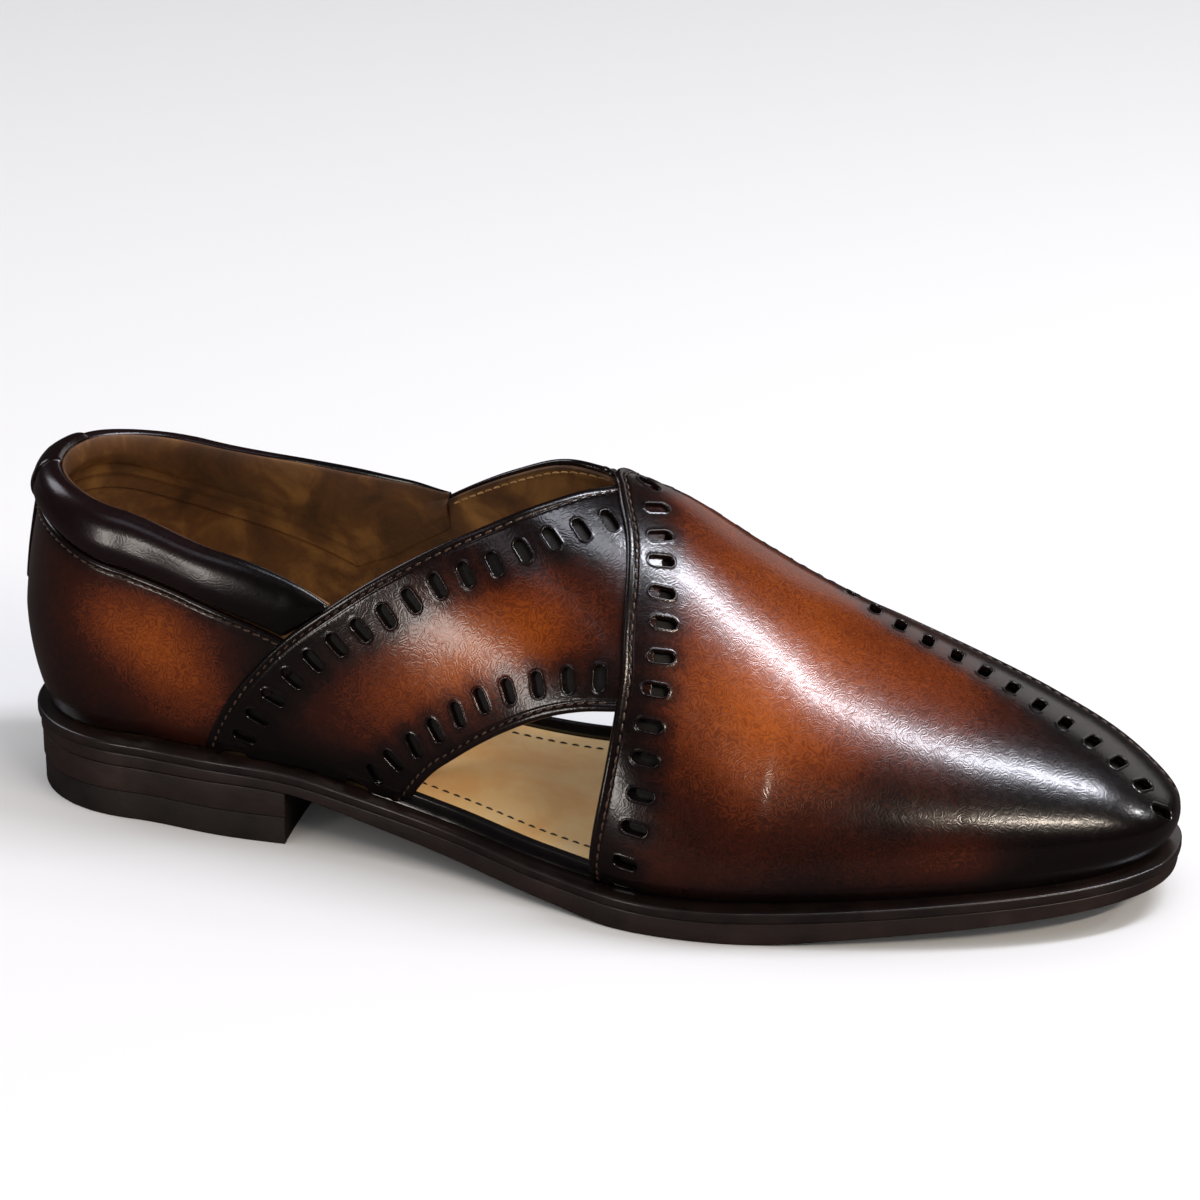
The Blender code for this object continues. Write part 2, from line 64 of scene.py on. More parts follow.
last = {  # heights of the ridge and of the fullest line, roundness between them, and insets from the plan
    "ridge": ([35, 70, 105, 140, 170, 190, 205, 225, 245, 265, 285, 300],
              [127, 118.5, 109, 100, 89, 76.5, 68, 61, 56, 51.8, 46.5, 38]),
    "full": ([0, 35, 80, 120, 160, 205, 250, 280, 305], [27, 24, 21, 16, 11.5, 9.5, 10, 9, 7]),
    "round": ([0, 35, 80, 120, 160, 205, 250, 305], [1.4, 2.2, 2.1, 1.8, 1.6, 1.6, 1.9, 2.2]),
    "fullInset": ([0, 35, 205, 252, 300], [-3.2, -0.4, 0.8, 2.4, 1.3], [-3.2, -0.4, 2.5, 2.4, 1.3]),
    "footInset": ([0, 35, 120, 165, 205, 252, 300], [1.5, 4.0, 3.4, 5.6, 7.0, 6.5, 6.0],
                  [1.5, 4.0, 4.5, 5.8, 7.0, 6.5, 6.0]),
    "gap": 0.3,
}
edges = {  # stations and heights on the last, but heights and stations for the throat
    "seam": ([0, 18, 32, 52, 78, 92], [78.5, 76.8, 70.6, 65.3, 57, 50]),
    "strapTop": {lateral: ([53, 56, 62, 73, 92, 108, 125, 141, 148, 157],
                           [16, 24, 36, 51, 68, 79, 88, 94, 95.2, 94.7]),
                 medial: ([53, 56, 62, 73, 92, 108, 125, 141, 153],
                          [16, 24, 36, 51, 68, 80, 90, 96.5, 96.2])},
    "strapLow": ([109, 113, 119, 124, 132, 141, 150, 158, 168, 176],
                 [13, 20, 28, 32.5, 39, 45, 49.5, 52, 53.5, 54.5]),
    "throat": {lateral: ([8, 15, 24, 40, 54, 61, 67, 74, 80, 88, 92, 95, 97],
                         [162.5, 163, 164, 166, 167, 167, 166, 165, 164, 161, 158, 155, 152]),
               medial: ([8, 25, 40, 55, 64, 75, 88, 93, 97],
                        [160, 160, 160.5, 161.5, 161.5, 160.5, 158, 155.5, 152])},
    "panelInner": ([160, 175, 191, 205, 220, 235, 250, 262, 271, 278, 284, 289, 292.5, 295],
                   [57.5, 58, 58.5, 59, 58, 55.5, 51.5, 47, 42, 36.5, 30.5, 24, 18.5, 11]),
}
levels = {"vamp": 0.6, "strap": -0.4, "base": -1.3, "stay": -0.2, "lining": -3.0}  # off the last
# the last laid out flat: how far its sections spread, how much of the tuck shows, the v at which
# panels are cut off inside the sole, the spacing of points, the rays of a fan, and halvings of a height
chart = {"spread": 1.6, "tuck": 0.25, "cutOff": -1.25, "lineStep": 1.2, "rays": 900, "halvings": 22}
heelC, toeC, toeRidge = plan["heelCentre"], plan["toeCentre"], plan["ridge"][1][-1]
toeSeam = math.atan2(-toeRidge, plan["length"] - toeC)
blockSize = 6000  # points compared at once


def smooth(x, xs, ys, start=None, end=None):
    # a cubic through a short table, whose inner slopes are weighted means of the slopes beside them
    xs, ys, x = (np.asarray(values, float) for values in (xs, ys, x))
    step = np.diff(xs)
    rise = np.diff(ys) / step
    slope = np.empty(len(xs))
    slope[1:-1] = (rise[:-1] * step[1:] + rise[1:] * step[:-1]) / (step[1:] + step[:-1])
    slope[0] = rise[0] if start is None else start
    slope[-1] = rise[-1] if end is None else end
    x = np.clip(x, xs[0], xs[-1])
    k = np.clip(np.searchsorted(xs, x, side="right") - 1, 0, len(step) - 1)
    t = (x - xs[k]) / step[k]
    near = (2 * t**3 - 3 * t**2 + 1) * ys[k] + (t**3 - 2 * t**2 + t) * step[k] * slope[k]
    return near + (3 * t**2 - 2 * t**3) * ys[k + 1] + (t**3 - t**2) * step[k] * slope[k + 1]


def ease(value, low, high):
    # 0 below low, 1 above high, and an S between them
    t = np.clip((value - low) / (high - low), 0, 1)
    return t * t * (3 - 2 * t)


def evenly(first, end, step):
    # from first to end in equal steps as near as can be to the step
    return np.linspace(first, end, max(2, int(round(abs(end - first) / step)) + 1))


def soleTop(x):
    # height of the sole's upper face
    return smooth(x, *soleHeights["top"])


def soleBottom(x):
    # height of the outsole's under face, nowhere under the floor
    return np.maximum(smooth(x, *soleHeights["bottom"]), 0.0)


def together(*values):
    # arrays of one shape
    return np.broadcast_arrays(*(np.asarray(value, float) for value in values))


def bySide(side, outer, inner):
    # the outer side's value or the inner side's
    return np.where(np.asarray(side) < 0, outer, inner)


def eachSide(s, side, tables):
    # a smooth value at station s from the table of its own side
    return bySide(side, smooth(s, *tables[lateral]), smooth(s, *tables[medial]))


def insetAt(s, side, name):
    # an inset of the last, along straight lines between its stations
    stations, outer, inner = last[name]
    return bySide(side, np.interp(s, stations, outer), np.interp(s, stations, inner))


def unit(vectors):
    # each vector over its own length
    return vectors / np.maximum(np.linalg.norm(vectors, axis=-1, keepdims=True), 1e-12)


def planPoint(s, side, inset):
    # the sole's edge at station s, and the middle line beside it: superellipses turn round the heel
    # and toe centres, and a table runs between them
    s, side = together(s, side)
    length, power, (stations, outer, inner) = plan["length"], plan["heelPower"], plan["half"]
    toeX, toeY = bySide(side, *plan["toeX"]), bySide(side, *plan["toeY"])
    middle = np.clip(s, heelC, toeC)
    endSlope = -outer[-1] / ((length - toeC) * plan["toeY"][0])
    half = bySide(side, smooth(middle, stations, outer, 0.0, endSlope),
                  smooth(middle, stations, inner, 0.0, 0.0))
    heel = np.clip(s / heelC, 0, 1) * math.pi / 2
    toe = np.clip((s - toeC) / (length - toeC), 0, 1) * math.pi / 2
    x = middle - (heelC - inset) * np.cos(heel) ** (2 / power)
    x = x + (length - inset - toeC) * np.sin(toe) ** (2 / toeX)
    y = (half - inset) * np.sin(heel) ** (2 / power) * np.maximum(np.cos(toe), 0) ** (2 / toeY)
    return np.stack([x, side * y], -1), np.stack([middle, smooth(middle, *plan["ridge"])], -1)


def lastPoint(s, side, v):
    # a quarter superellipse from the fullest line, v 0, to the ridge, v 1; tucked in to the foot line, v -1
    s, side, v = together(s, side, v)
    full, centre = planPoint(s, side, insetAt(s, side, "fullInset"))
    foot = planPoint(s, side, insetAt(s, side, "footInset"))[0]
    fullZ = soleTop(full[..., 0]) + smooth(full[..., 0], *last["full"])
    turn = np.clip(v, 0, 1) * math.pi / 2
    above = centre + (full - centre) * np.cos(turn)[..., None]
    power, ridge = (smooth(above[..., 0], *last[name]) for name in ("round", "ridge"))
    aboveZ = fullZ + (ridge - fullZ) * np.maximum(np.sin(turn), 1e-9) ** (2 / power)
    tuck = np.clip(-v, 0, 1)
    below = full + (foot - full) * (tuck**2)[..., None]
    belowZ = fullZ + (soleTop(foot[..., 0]) + last["gap"] - fullZ) * tuck
    low = v < 0
    flat = np.where(low[..., None], below, above)
    return np.concatenate([flat, np.where(low, belowZ, aboveZ)[..., None]], -1)


def lastNormal(s, side, v):
    # across the last's small steps along and round it, pointing out; beside the poles, not on them
    s, side, v = together(s, side, v)
    length, stepS, stepV, pole, end = plan["length"], 0.4, 0.01, 0.995, 0.01
    atPole = (v > pole) & ((s > toeC) | (s < heelC))
    s = np.where(atPole, np.clip(s, heelC + stepS, toeC - stepS), s)
    ahead, behind = np.clip(s + stepS, 0, length), np.clip(s - stepS, 0, length)
    along = lastPoint(ahead, side, v) - lastPoint(behind, side, v)
    across = lastPoint(s, side, np.clip(v + stepV, -1, 1)) - lastPoint(s, side, np.clip(v - stepV, -1, 1))
    normal = np.cross(along, across) * -side[..., None]
    normal[..., 1] = np.where((s < end) | (s > length - end), 0.0, normal[..., 1])
    return unit(normal)


def chartPoint(s, side, v):
    # the last laid out flat: sections spread from the ridge line and from the two fan centres
    edge, centre = planPoint(s, side, 0.0)
    away = 1 - np.where(np.asarray(v) < 0, np.asarray(v) * chart["tuck"], v)
    return centre + (edge - centre) * (chart["spread"] * away)[..., None]


def fanRays(start, end, side):
    # stations of a fan, and the rays from its centre to the sole's edge there
    s = np.linspace(start, end, chart["rays"])
    edge, centre = planPoint(s, side, 0.0)
    return s, edge - centre


def chartPlace(points):
    # the way back from the chart: station, side and v of flat points
    x, y = points[..., 0], points[..., 1]
    s = np.clip(x, heelC, toeC)
    side = np.where(y < smooth(s, *plan["ridge"]), lateral, medial)
    heelAngle, toeAngle = np.arctan2(np.abs(y), heelC - x), np.arctan2(y - toeRidge, x - toeC)
    side = np.where(x > toeC, np.where(toeAngle < toeSeam, lateral, medial), side)
    for which in sides:
        stations, ray = fanRays(0.0, heelC, which)
        found = np.interp(heelAngle, np.arctan2(np.abs(ray[:, 1]), -ray[:, 0]), stations)
        s = np.where((x < heelC) & (side == which), found, s)
        stations, ray = fanRays(toeC, plan["length"], which)
        turn = np.abs(np.arctan2(ray[:, 1], ray[:, 0]) - toeSeam)[::-1]
        found = np.interp(np.abs(toeAngle - toeSeam), turn, stations[::-1])
        s = np.where((x > toeC) & (side == which), found, s)
    edge, centre = planPoint(s, side, 0.0)
    reach = np.linalg.norm(points - centre, axis=-1) / np.linalg.norm(edge - centre, axis=-1)
    v = 1 - reach / chart["spread"]
    return s, side, np.where(v < 0, v / chart["tuck"], v)


def onLast(points):
    # flat points carried back on to the last
    return lastPoint(*chartPlace(points))


def placeAtHeight(s, side, z):
    # v at which the section at s reaches the height z, by halving; under -1 below the foot
    s, side, z = together(s, side, z)
    low, high = np.full(s.shape, -1.0), np.full(s.shape, 1.0)
    for step in range(chart["halvings"]):
        middle = (low + high) / 2
        under = lastPoint(s, side, middle)[..., 2] < z
        low, high = np.where(under, middle, low), np.where(under, high, middle)
    below = lastPoint(s, side, -1.0)[..., 2] - z
    return np.where(below > 0, -1 - 0.03 * below, (low + high) / 2)


def lineByStation(table, side):
    # an edge given as heights at stations, laid out on the chart
    s = evenly(table[0][0], table[0][-1], chart["lineStep"])
    return chartPoint(s, side, placeAtHeight(s, side, smooth(s, *table)))


def lineByHeight(table, side):
    # an edge given as stations at heights, which ends on the ridge
    z = evenly(table[0][0], table[0][-1], chart["lineStep"])
    s = smooth(z, *table)
    v = placeAtHeight(s, side, z)
    v[-1] = 1.0
    return chartPoint(s, side, v)


def rowLine(table, side, count=200, byHeight=True):
    # a curve through rows of station and height, or of station and v
    rows = np.arange(len(table[0]))
    t = np.linspace(0, rows[-1], count)
    s, other = smooth(t, rows, table[0]), smooth(t, rows, table[1])
    return chartPoint(s, side, placeAtHeight(s, side, other) if byHeight else other)


def leftOf(line):
    # flat directions square to a line, to its left
    run = unit(np.gradient(line, axis=0))
    return np.stack([-run[:, 1], run[:, 0]], -1)


def roundCorner(first, second, radius=5.0):
    # two flat lines that meet, joined by a curve that starts and ends radius before the corner
    corner = first[-1]
    head, tail = (line[np.linalg.norm(line - corner, axis=1) > radius] for line in (first, second))
    t = np.linspace(0, 1, 9)[1:-1, None]
    curve = head[-1] * (1 - t) ** 2 + corner * 2 * t * (1 - t) + tail[0] * t**2
    return np.vstack([head, curve, tail])


def alongLine(line):
    # length along a line up to each of its points
    return np.concatenate([[0], np.cumsum(np.linalg.norm(np.diff(line, axis=0), axis=1))])


def pickAt(line, run, at):
    # points of a line at given lengths along it
    return np.stack([np.interp(at, run, column) for column in line.T], -1)


def nearest(points, starts, ends):
    # distance from each point to the nearest of many segments, the nearest place on it, and its number
    run = ends - starts
    length2 = np.maximum((run**2).sum(1), 1e-9)
    distance, foot, which = np.empty(len(points)), np.empty_like(points), np.empty(len(points), int)
    for first in range(0, len(points), blockSize):
        block = slice(first, first + blockSize)
        some = points[block]
        along = some @ run.T - (starts * run).sum(1)
        t = np.clip(along / length2, 0, 1)
        square = (some**2).sum(1)[:, None] - 2 * some @ starts.T + (starts**2).sum(1)
        square = square - 2 * t * along + t * t * length2
        k = square.argmin(1)
        which[block], foot[block] = k, starts[k] + run[k] * t[np.arange(len(some)), k][:, None]
        distance[block] = np.linalg.norm(some - foot[block], axis=1)
    return distance, foot, which


def insideOf(points, loop):
    # whether flat points lie inside a closed loop, by counting the edges to one side
    ends = np.roll(loop, -1, axis=0)
    rise = np.where(np.abs(ends[:, 1] - loop[:, 1]) < 1e-9, 1e-9, ends[:, 1] - loop[:, 1])
    inside = np.empty(len(points), bool)
    for first in range(0, len(points), blockSize):
        x, y = points[first:first + blockSize].T[..., None]
        spans = (loop[:, 1] > y) != (ends[:, 1] > y)
        cross = loop[:, 0] + (y - loop[:, 1]) * (ends[:, 0] - loop[:, 0]) / rise
        inside[first:first + blockSize] = (spans & (x < cross)).sum(1) % 2 == 1
    return inside


# ---- into Blender ----
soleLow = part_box("midsole")[0]
widest = float(planPoint(np.linspace(heelC, toeC, 900), lateral, 0.0)[0][:, 1].min())
shift = np.array([soleLow.x * 1000, soleLow.y * 1000 - widest, 0.0])


def makePiece(name, points, faces, material, slotName="upper_leather", replaces=(), tone=None, sharp=None):
    # one mesh object in the frame, from points in millimetres and arrays of faces
    mesh = bpy.data.meshes.new(name)
    mesh.vertices.add(len(points))
    mesh.vertices.foreach_set("co", ((np.asarray(points) + shift) * 0.001).ravel())
    mesh.loops.add(sum(block.size for block in faces))
    mesh.loops.foreach_set("vertex_index", np.concatenate([block.ravel() for block in faces]))
    mesh.polygons.add(sum(len(block) for block in faces))
    sizes = np.concatenate([np.full(len(block), block.shape[1]) for block in faces])
    mesh.polygons.foreach_set("loop_start", np.concatenate([[0], np.cumsum(sizes)[:-1]]))
    mesh.update(calc_edges=True)
    mesh.validate()
    mesh.shade_smooth()
    if sharp:
        mesh.set_sharp_from_angle(angle=math.radians(sharp))
    if tone is not None:
        tones = mesh.attributes.new("tone", "FLOAT", "POINT")
        tones.data.foreach_set("value", np.asarray(tone, np.float32))
    mesh.materials.append(material)
    piece = bpy.data.objects.new(name, mesh)
    bpy.context.scene.collection.objects.link(piece)
    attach(piece, "root")
    if replaces:
        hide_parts(*replaces)
    return piece


def gridFaces(rows, columns, closed=False, flip=False):
    # quads of a grid of rows by columns, its columns joined up where they close
    i = np.arange(rows - 1)[:, None] * columns
    j = np.arange(columns if closed else columns - 1)[None]
    after = (j + 1) % columns
    quad = [i + j, i + after, i + columns + after, i + columns + j]
    return np.stack(quad[::-1] if flip else quad, -1).reshape(-1, 4)


def closedTube(grid, flip):
    # rings joined along a tube, and each end closed by a fan round its middle
    n, m = grid.shape[:2]
    k, after = np.arange(m), (np.arange(m) + 1) % m
    fans = [np.stack([np.full(m, n * m), k, after], 1),
            np.stack([np.full(m, n * m + 1), (n - 1) * m + after, (n - 1) * m + k], 1)]
    points = np.vstack([grid.reshape(-1, 3), grid[0].mean(0), grid[-1].mean(0)])
    return points, [gridFaces(n, m, True, flip), *(fan if flip else fan[:, ::-1] for fan in fans)]


def closedSheet(outer, inner):
    # two grids, one over the other, joined round their border into one closed sheet
    n, m = outer.shape[:2]
    border = np.concatenate([np.arange(m), np.arange(2 * m - 1, n * m, m),
                             np.arange(n * m - 2, (n - 1) * m - 1, -1), np.arange((n - 2) * m, 0, -m)])
    after = np.roll(border, -1)
    rim = np.stack([border, after, after + n * m, border + n * m], 1)
    points = np.vstack([outer.reshape(-1, 3), inner.reshape(-1, 3)])
    return points, [gridFaces(n, m, flip=True), gridFaces(n, m) + n * m, rim]


# ---- materials ----
def linear(hexColour):
    # sRGB hex to linear
    parts = [int(hexColour[k:k + 2], 16) / 255 for k in (1, 3, 5)]
    return (*[p / 12.92 if p <= 0.04045 else ((p + 0.055) / 1.055) ** 2.4 for p in parts], 1.0)


def setInputs(tree, node, inputs):
    # an input is a value, or the node or socket that it is linked from
    for key, value in inputs.items():
        source = value.outputs[0] if isinstance(value, bpy.types.Node) else value
        if isinstance(source, bpy.types.NodeSocket):
            tree.links.new(source, node.inputs[key])
        else:
            node.inputs[key].default_value = value


def addNode(tree, kind, inputs, stops=(), **settings):
    # a node with its settings, its links and, on a ramp, its colour stops
    made = tree.nodes.new("ShaderNode" + kind)
    for key, value in settings.items():
        setattr(made, key, value)
    setInputs(tree, made, inputs)
    for k, (position, colour) in enumerate(stops):
        ramp = made.color_ramp.elements
        stop = ramp[k] if k < len(ramp) else ramp.new(position)
        stop.position, stop.color = position, linear(colour)
    return made


def newMaterial(name):
    # a material, its nodes, its shader, and the place on the shoe in millimetres
    material = bpy.data.materials.new(name)
    material.use_nodes = True
    tree = material.node_tree
    coordinates = addNode(tree, "TexCoord", {}).outputs["Object"]
    mm = addNode(tree, "VectorMath", {0: coordinates, 3: 1000.0}, operation="SCALE")
    return material, tree, tree.nodes["Principled BSDF"], mm


def finishSurface(tree, shader, colour, gloss, height, look):
    # colour, gloss that wanders between two roughnesses, a bump as deep as the look says, and a wax coat
    low, high = look["roughness"]
    rough = addNode(tree, "MapRange", {"Value": gloss, "From Min": 0.3, "From Max": 0.7,
                                       "To Min": low, "To Max": high})
    bump = addNode(tree, "Bump", {"Height": height, "Strength": 1.0, "Distance": look["depth"] * 0.001})
    setInputs(tree, shader, {"Base Color": colour, "Roughness": rough, "Normal": bump, "IOR": 1.5,
                             "Coat Weight": look.get("coat", 0.0),
                             "Coat Roughness": look.get("coatRoughness", 0.2)})
    return bump


def burnishedLeather(name, look):
    # Aniline calf, waxed and burnished by hand: brown where it is rubbed thin, almost black at its
    # edges, printed with a fine grain of curls about half a millimetre wide, which shows where light
    # glances off it. The curls are bands of equal height in a bent noise.
    material, tree, shader, mm = newMaterial(name)
    # the tone attribute: burnish, with painted shade in places
    tone = addNode(tree, "Attribute", {}, attribute_name="tone").outputs["Fac"]
    cloud = addNode(tree, "TexNoise", {"Vector": mm, "Scale": look["cloudScale"], "Detail": 4.0,
                                       "Roughness": 0.6})
    mottle = addNode(tree, "TexNoise", {"Vector": mm, "Scale": look["mottleScale"], "Detail": 3.0,
                                        "Roughness": 0.7})
    wander = addNode(tree, "TexNoise", {"Vector": mm, "Scale": look["wanderScale"], "Detail": 1.0})
    bent = addNode(tree, "VectorMath", {0: wander.outputs["Color"], 1: (look["wander"],) * 3, 2: mm},
                   operation="MULTIPLY_ADD")
    field = addNode(tree, "TexNoise", {"Vector": bent, "Scale": look["grainScale"], "Detail": 0.0})
    phase = addNode(tree, "Math", {0: field, 1: look["grainBands"] * 2 * math.pi}, operation="MULTIPLY")
    curl = addNode(tree, "Math", {0: phase}, operation="SINE")
    depth = tone
    for pattern, amount in ((cloud, look["cloud"]), (mottle, look["mottle"]), (curl, look["curlTone"])):
        depth = addNode(tree, "Math", {0: pattern, 1: amount, 2: depth}, operation="MULTIPLY_ADD")
    depth = addNode(tree, "Math", {0: depth, 1: (look["cloud"] + look["mottle"]) / 2}, operation="SUBTRACT")
    colour = addNode(tree, "ValToRGB", {"Fac": depth}, look["colours"])
    bump = finishSurface(tree, shader, colour, mottle, curl, look)
    setInputs(tree, shader, {"Coat Normal": bump})
    return material


upperLook = {  # scales to the millimetre; depth of the grain in millimetres
    "cloudScale": 0.035, "cloud": 0.26, "mottleScale": 0.5, "mottle": 0.1,
    "wanderScale": 0.6, "wander": 1.0, "grainScale": 0.42, "grainBands": 6.0, "curlTone": 0.045,
    "depth": 0.0045, "roughness": (0.2, 0.25), "coat": 0.25, "coatRoughness": 0.1,
    "colours": [(0.0, "#070303"), (0.2, "#160806"), (0.38, "#331004"), (0.56, "#602604"),
                (0.74, "#8e4206"), (0.9, "#aa590e"), (1.0, "#bb6e22")],
}
calf = burnishedLeather("burnishedCalf", upperLook)
collarCalf = burnishedLeather("auberginePadCalf", {
    **upperLook, "cloud": 0.25, "depth": 0.0035, "roughness": (0.22, 0.27), "coat": 0.12,
    "colours": [(0.0, "#040202"), (0.5, "#0f0607"), (1.0, "#220d11")]})


def plainMaterial(name, look):
    # a clouded colour with fine unevenness in its gloss and its surface; sizes in millimetres
    material, tree, shader, mm = newMaterial(name)
    cloud = addNode(tree, "TexNoise", {"Vector": mm, "Scale": 1 / look["cloudSize"], "Detail": 5.0,
                                       "Roughness": 0.6, "Distortion": look.get("swirl", 0.0)})
    colour = addNode(tree, "ValToRGB", {"Fac": cloud}, look["colours"])
    # a look with a back colour mixes it in by the tone attribute; on the lining it is painted shade, seen
    # through the slots
    if "back" in look:
        behind = addNode(tree, "Attribute", {}, attribute_name="tone").outputs["Fac"]
        colour = addNode(tree, "Mix", {0: behind, 6: colour, 7: linear(look["back"])},
                         data_type="RGBA").outputs[2]
    stretch = addNode(tree, "VectorMath", {0: mm, 1: look.get("stretch", (1, 1, 1))}, operation="MULTIPLY")
    grain = addNode(tree, "TexNoise", {"Vector": stretch, "Scale": 1 / look["grainSize"], "Detail": 4.0,
                                       "Roughness": 0.65})
    finishSurface(tree, shader, colour, grain, grain, look)
    return material


# Pigskin lining, undyed and a little oily: olive tan with darker rubbed clouds; near black on its hidden
# face, the one against the upper, as painted shade at the back of the slots.
liningSkin = plainMaterial("oiledPigskinLining", {
    "cloudSize": 16, "swirl": 0.6, "grainSize": 0.9, "roughness": (0.5, 0.65), "depth": 0.06,
    "back": "#0d0604", "colours": [(0.25, "#2a1609"), (0.5, "#573516"), (0.75, "#8e6531")]})
# Vegetable-tanned insole leather: pale straw, smooth and matt.
vegTan = plainMaterial("vegetableTannedInsole", {
    "cloudSize": 30, "swirl": 0.4, "grainSize": 1.1, "roughness": (0.45, 0.6), "depth": 0.03,
    "colours": [(0.3, "#f4b36a"), (0.5, "#fdd08c"), (0.75, "#ffe4b0")]})
# Sole leather edges, inked dark brown and burnished with wax: satin with fine lines along the edge.
inkedSole = plainMaterial("inkedSoleLeather", {
    "cloudSize": 14, "grainSize": 1.4, "stretch": (0.15, 0.15, 2.5), "roughness": (0.36, 0.5),
    "depth": 0.05, "coat": 0.1, "colours": [(0.3, "#1a1210"), (0.6, "#2a1c18"), (0.8, "#38261f")]})
# The welt strip, the same leather blacked and more polished.
blackedWelt = plainMaterial("blackedWeltLeather", {
    "cloudSize": 10, "grainSize": 1.2, "stretch": (0.2, 0.2, 2.0), "roughness": (0.26, 0.4),
    "depth": 0.04, "coat": 0.3, "colours": [(0.3, "#120d0c"), (0.6, "#1f1513"), (0.85, "#2c1e1a")]})
# Patent-black rand leather: smooth, with sharp reflections.
blackRand = plainMaterial("polishedRandLeather", {
    "cloudSize": 8, "grainSize": 2.5, "roughness": (0.14, 0.24), "depth": 0.05, "coat": 0.6,
    "colours": [(0.3, "#0c0a0b"), (0.7, "#151214")]})
# Hard rubber top lift: black, matt, a little dusty.
topRubber = plainMaterial("hardTopLiftRubber", {
    "cloudSize": 12, "grainSize": 0.8, "roughness": (0.5, 0.65), "depth": 0.05,
    "colours": [(0.3, "#17110f"), (0.7, "#261c19")]})
# Waxed polyester thread, dark brown; its twist catches small lights.
darkThread = plainMaterial("waxedDarkThread", {
    "cloudSize": 3, "grainSize": 0.35, "roughness": (0.3, 0.45), "depth": 0.05, "coat": 0.3,
    "colours": [(0.3, "#2a1a12"), (0.7, "#4a3426")]})
# The same thread undyed, less waxed: sandy and dull.
tanThread = plainMaterial("waxedTanThread", {
    "cloudSize": 3, "grainSize": 0.35, "roughness": (0.45, 0.6), "depth": 0.05,
    "colours": [(0.3, "#7a5a34"), (0.7, "#b08a58")]})
print("materials made")


# ---- the edges, laid out flat ----
def footLine(first, end, side):
    # beyond the foot, where panels are cut off at the sole
    return chartPoint(evenly(first, end, 1.5), side, chart["cutOff"])


def fromFoot(s, line, side):
    # a line led up from beyond the foot at station s
    return np.vstack([chartPoint(np.array([s]), side, chart["cutOff"]), line])


def topLine(side):
    # the higher of the collar seam and the strap's top edge, from the back of the heel to the ridge
    s = evenly(0.0, edges["strapTop"][side][0][-1], chart["lineStep"])
    z = np.maximum(smooth(s, *edges["seam"]), smooth(s, *edges["strapTop"][side]))
    return chartPoint(s, side, placeAtHeight(s, side, z))


def underVamp(side, ahead=8.0, high=95, low=58):
    # a hidden cut under the vamp: the throat's line moved ahead, from the ridge down to a height
    z = evenly(high, low, 1.5)
    s = smooth(z, *edges["throat"][side]) + ahead
    return chartPoint(s, side, np.minimum(placeAtHeight(s, side, z), 1.0))


seamLine = {side: lineByStation(edges["seam"], side) for side in sides}
strapTop = {side: fromFoot(52.5, lineByStation(edges["strapTop"][side], side), side) for side in sides}
strapLow = {side: fromFoot(108.5, lineByStation(edges["strapLow"], side), side) for side in sides}
throat = {side: fromFoot(edges["throat"][side][1][0], lineByHeight(edges["throat"][side], side), side)
          for side in sides}
panelEdge = np.vstack([rowLine(edges["panelInner"], medial, 79),
                       chartPoint(np.array([295.5]), medial, chart["cutOff"])])

# the vamp's edge: up the outer side of the throat, round its tip, down to the panel's own edge
tip = roundCorner(throat[lateral], throat[medial][::-1])
turnAt = int(np.argmax(placeAtHeight(160.0, medial, 57.5) < chartPlace(throat[medial])[2]))
throatEdge = tip[:len(tip) - turnAt]
vampEdge = roundCorner(throatEdge, panelEdge)

# rows of slots, by the stations of their middles and their heights or their v
slotLook = {"long": 6.3, "wide": 2.7, "topCount": 17, "lowCount": 11, "toePitch": 8.2}
topRow = ([157, 144, 131, 118, 105, 92, 80, 70, 64], [90, 87, 81, 75, 66, 57, 46, 33, 22])
lowRow = ([162, 148, 132, 120, 108, 97], [60, 57, 50, 40, 29, 18])
throatRow = ([162, 166, 169, 171, 173, 175, 176, 176, 176, 176, 176, 175, 173, 171],
             [0.99, 0.90, 0.815, 0.75, 0.675, 0.61, 0.535, 0.46, 0.38, 0.305, 0.22, 0.13, -0.045, -0.92])
toeRow = ([167, 186, 205, 230, 258, 274, 290, 295.5, 296.5, 298, 300],
          [0.80, 0.822, 0.828, 0.862, 0.882, 0.885, 0.855, 0.805, 0.75, 0.70, 0.65])
toeEnd = ([299.5, 297, 297, 295.5, 295, 293], [0.6, 0.545, 0.475, 0.39, 0.285, 0.115])


def spacedRow(flat, count=None, pitch=None, first=0.0, end=0.0):
    # places evenly spaced along a flat line, by its length on the last
    run = alongLine(onLast(flat))
    whole = run[-1] - first - end
    count = count or int(round(whole / pitch)) + 1
    return pickAt(flat, run, first + np.linspace(0, whole, count))


def slotSpines(flat, edge):
    # a slot's two ends, either way from its middle and square to the edge, measured on the last
    ends = onLast(edge)
    across = unit(edge[nearest(onLast(flat), ends[:-1], ends[1:])[2]] - flat)
    scale = np.linalg.norm(onLast(flat + across) - onLast(flat - across), axis=1)[:, None] / 2
    half = (slotLook["long"] - slotLook["wide"]) / 2
    return np.stack([onLast(flat - across * half / scale), onLast(flat + across * half / scale)])


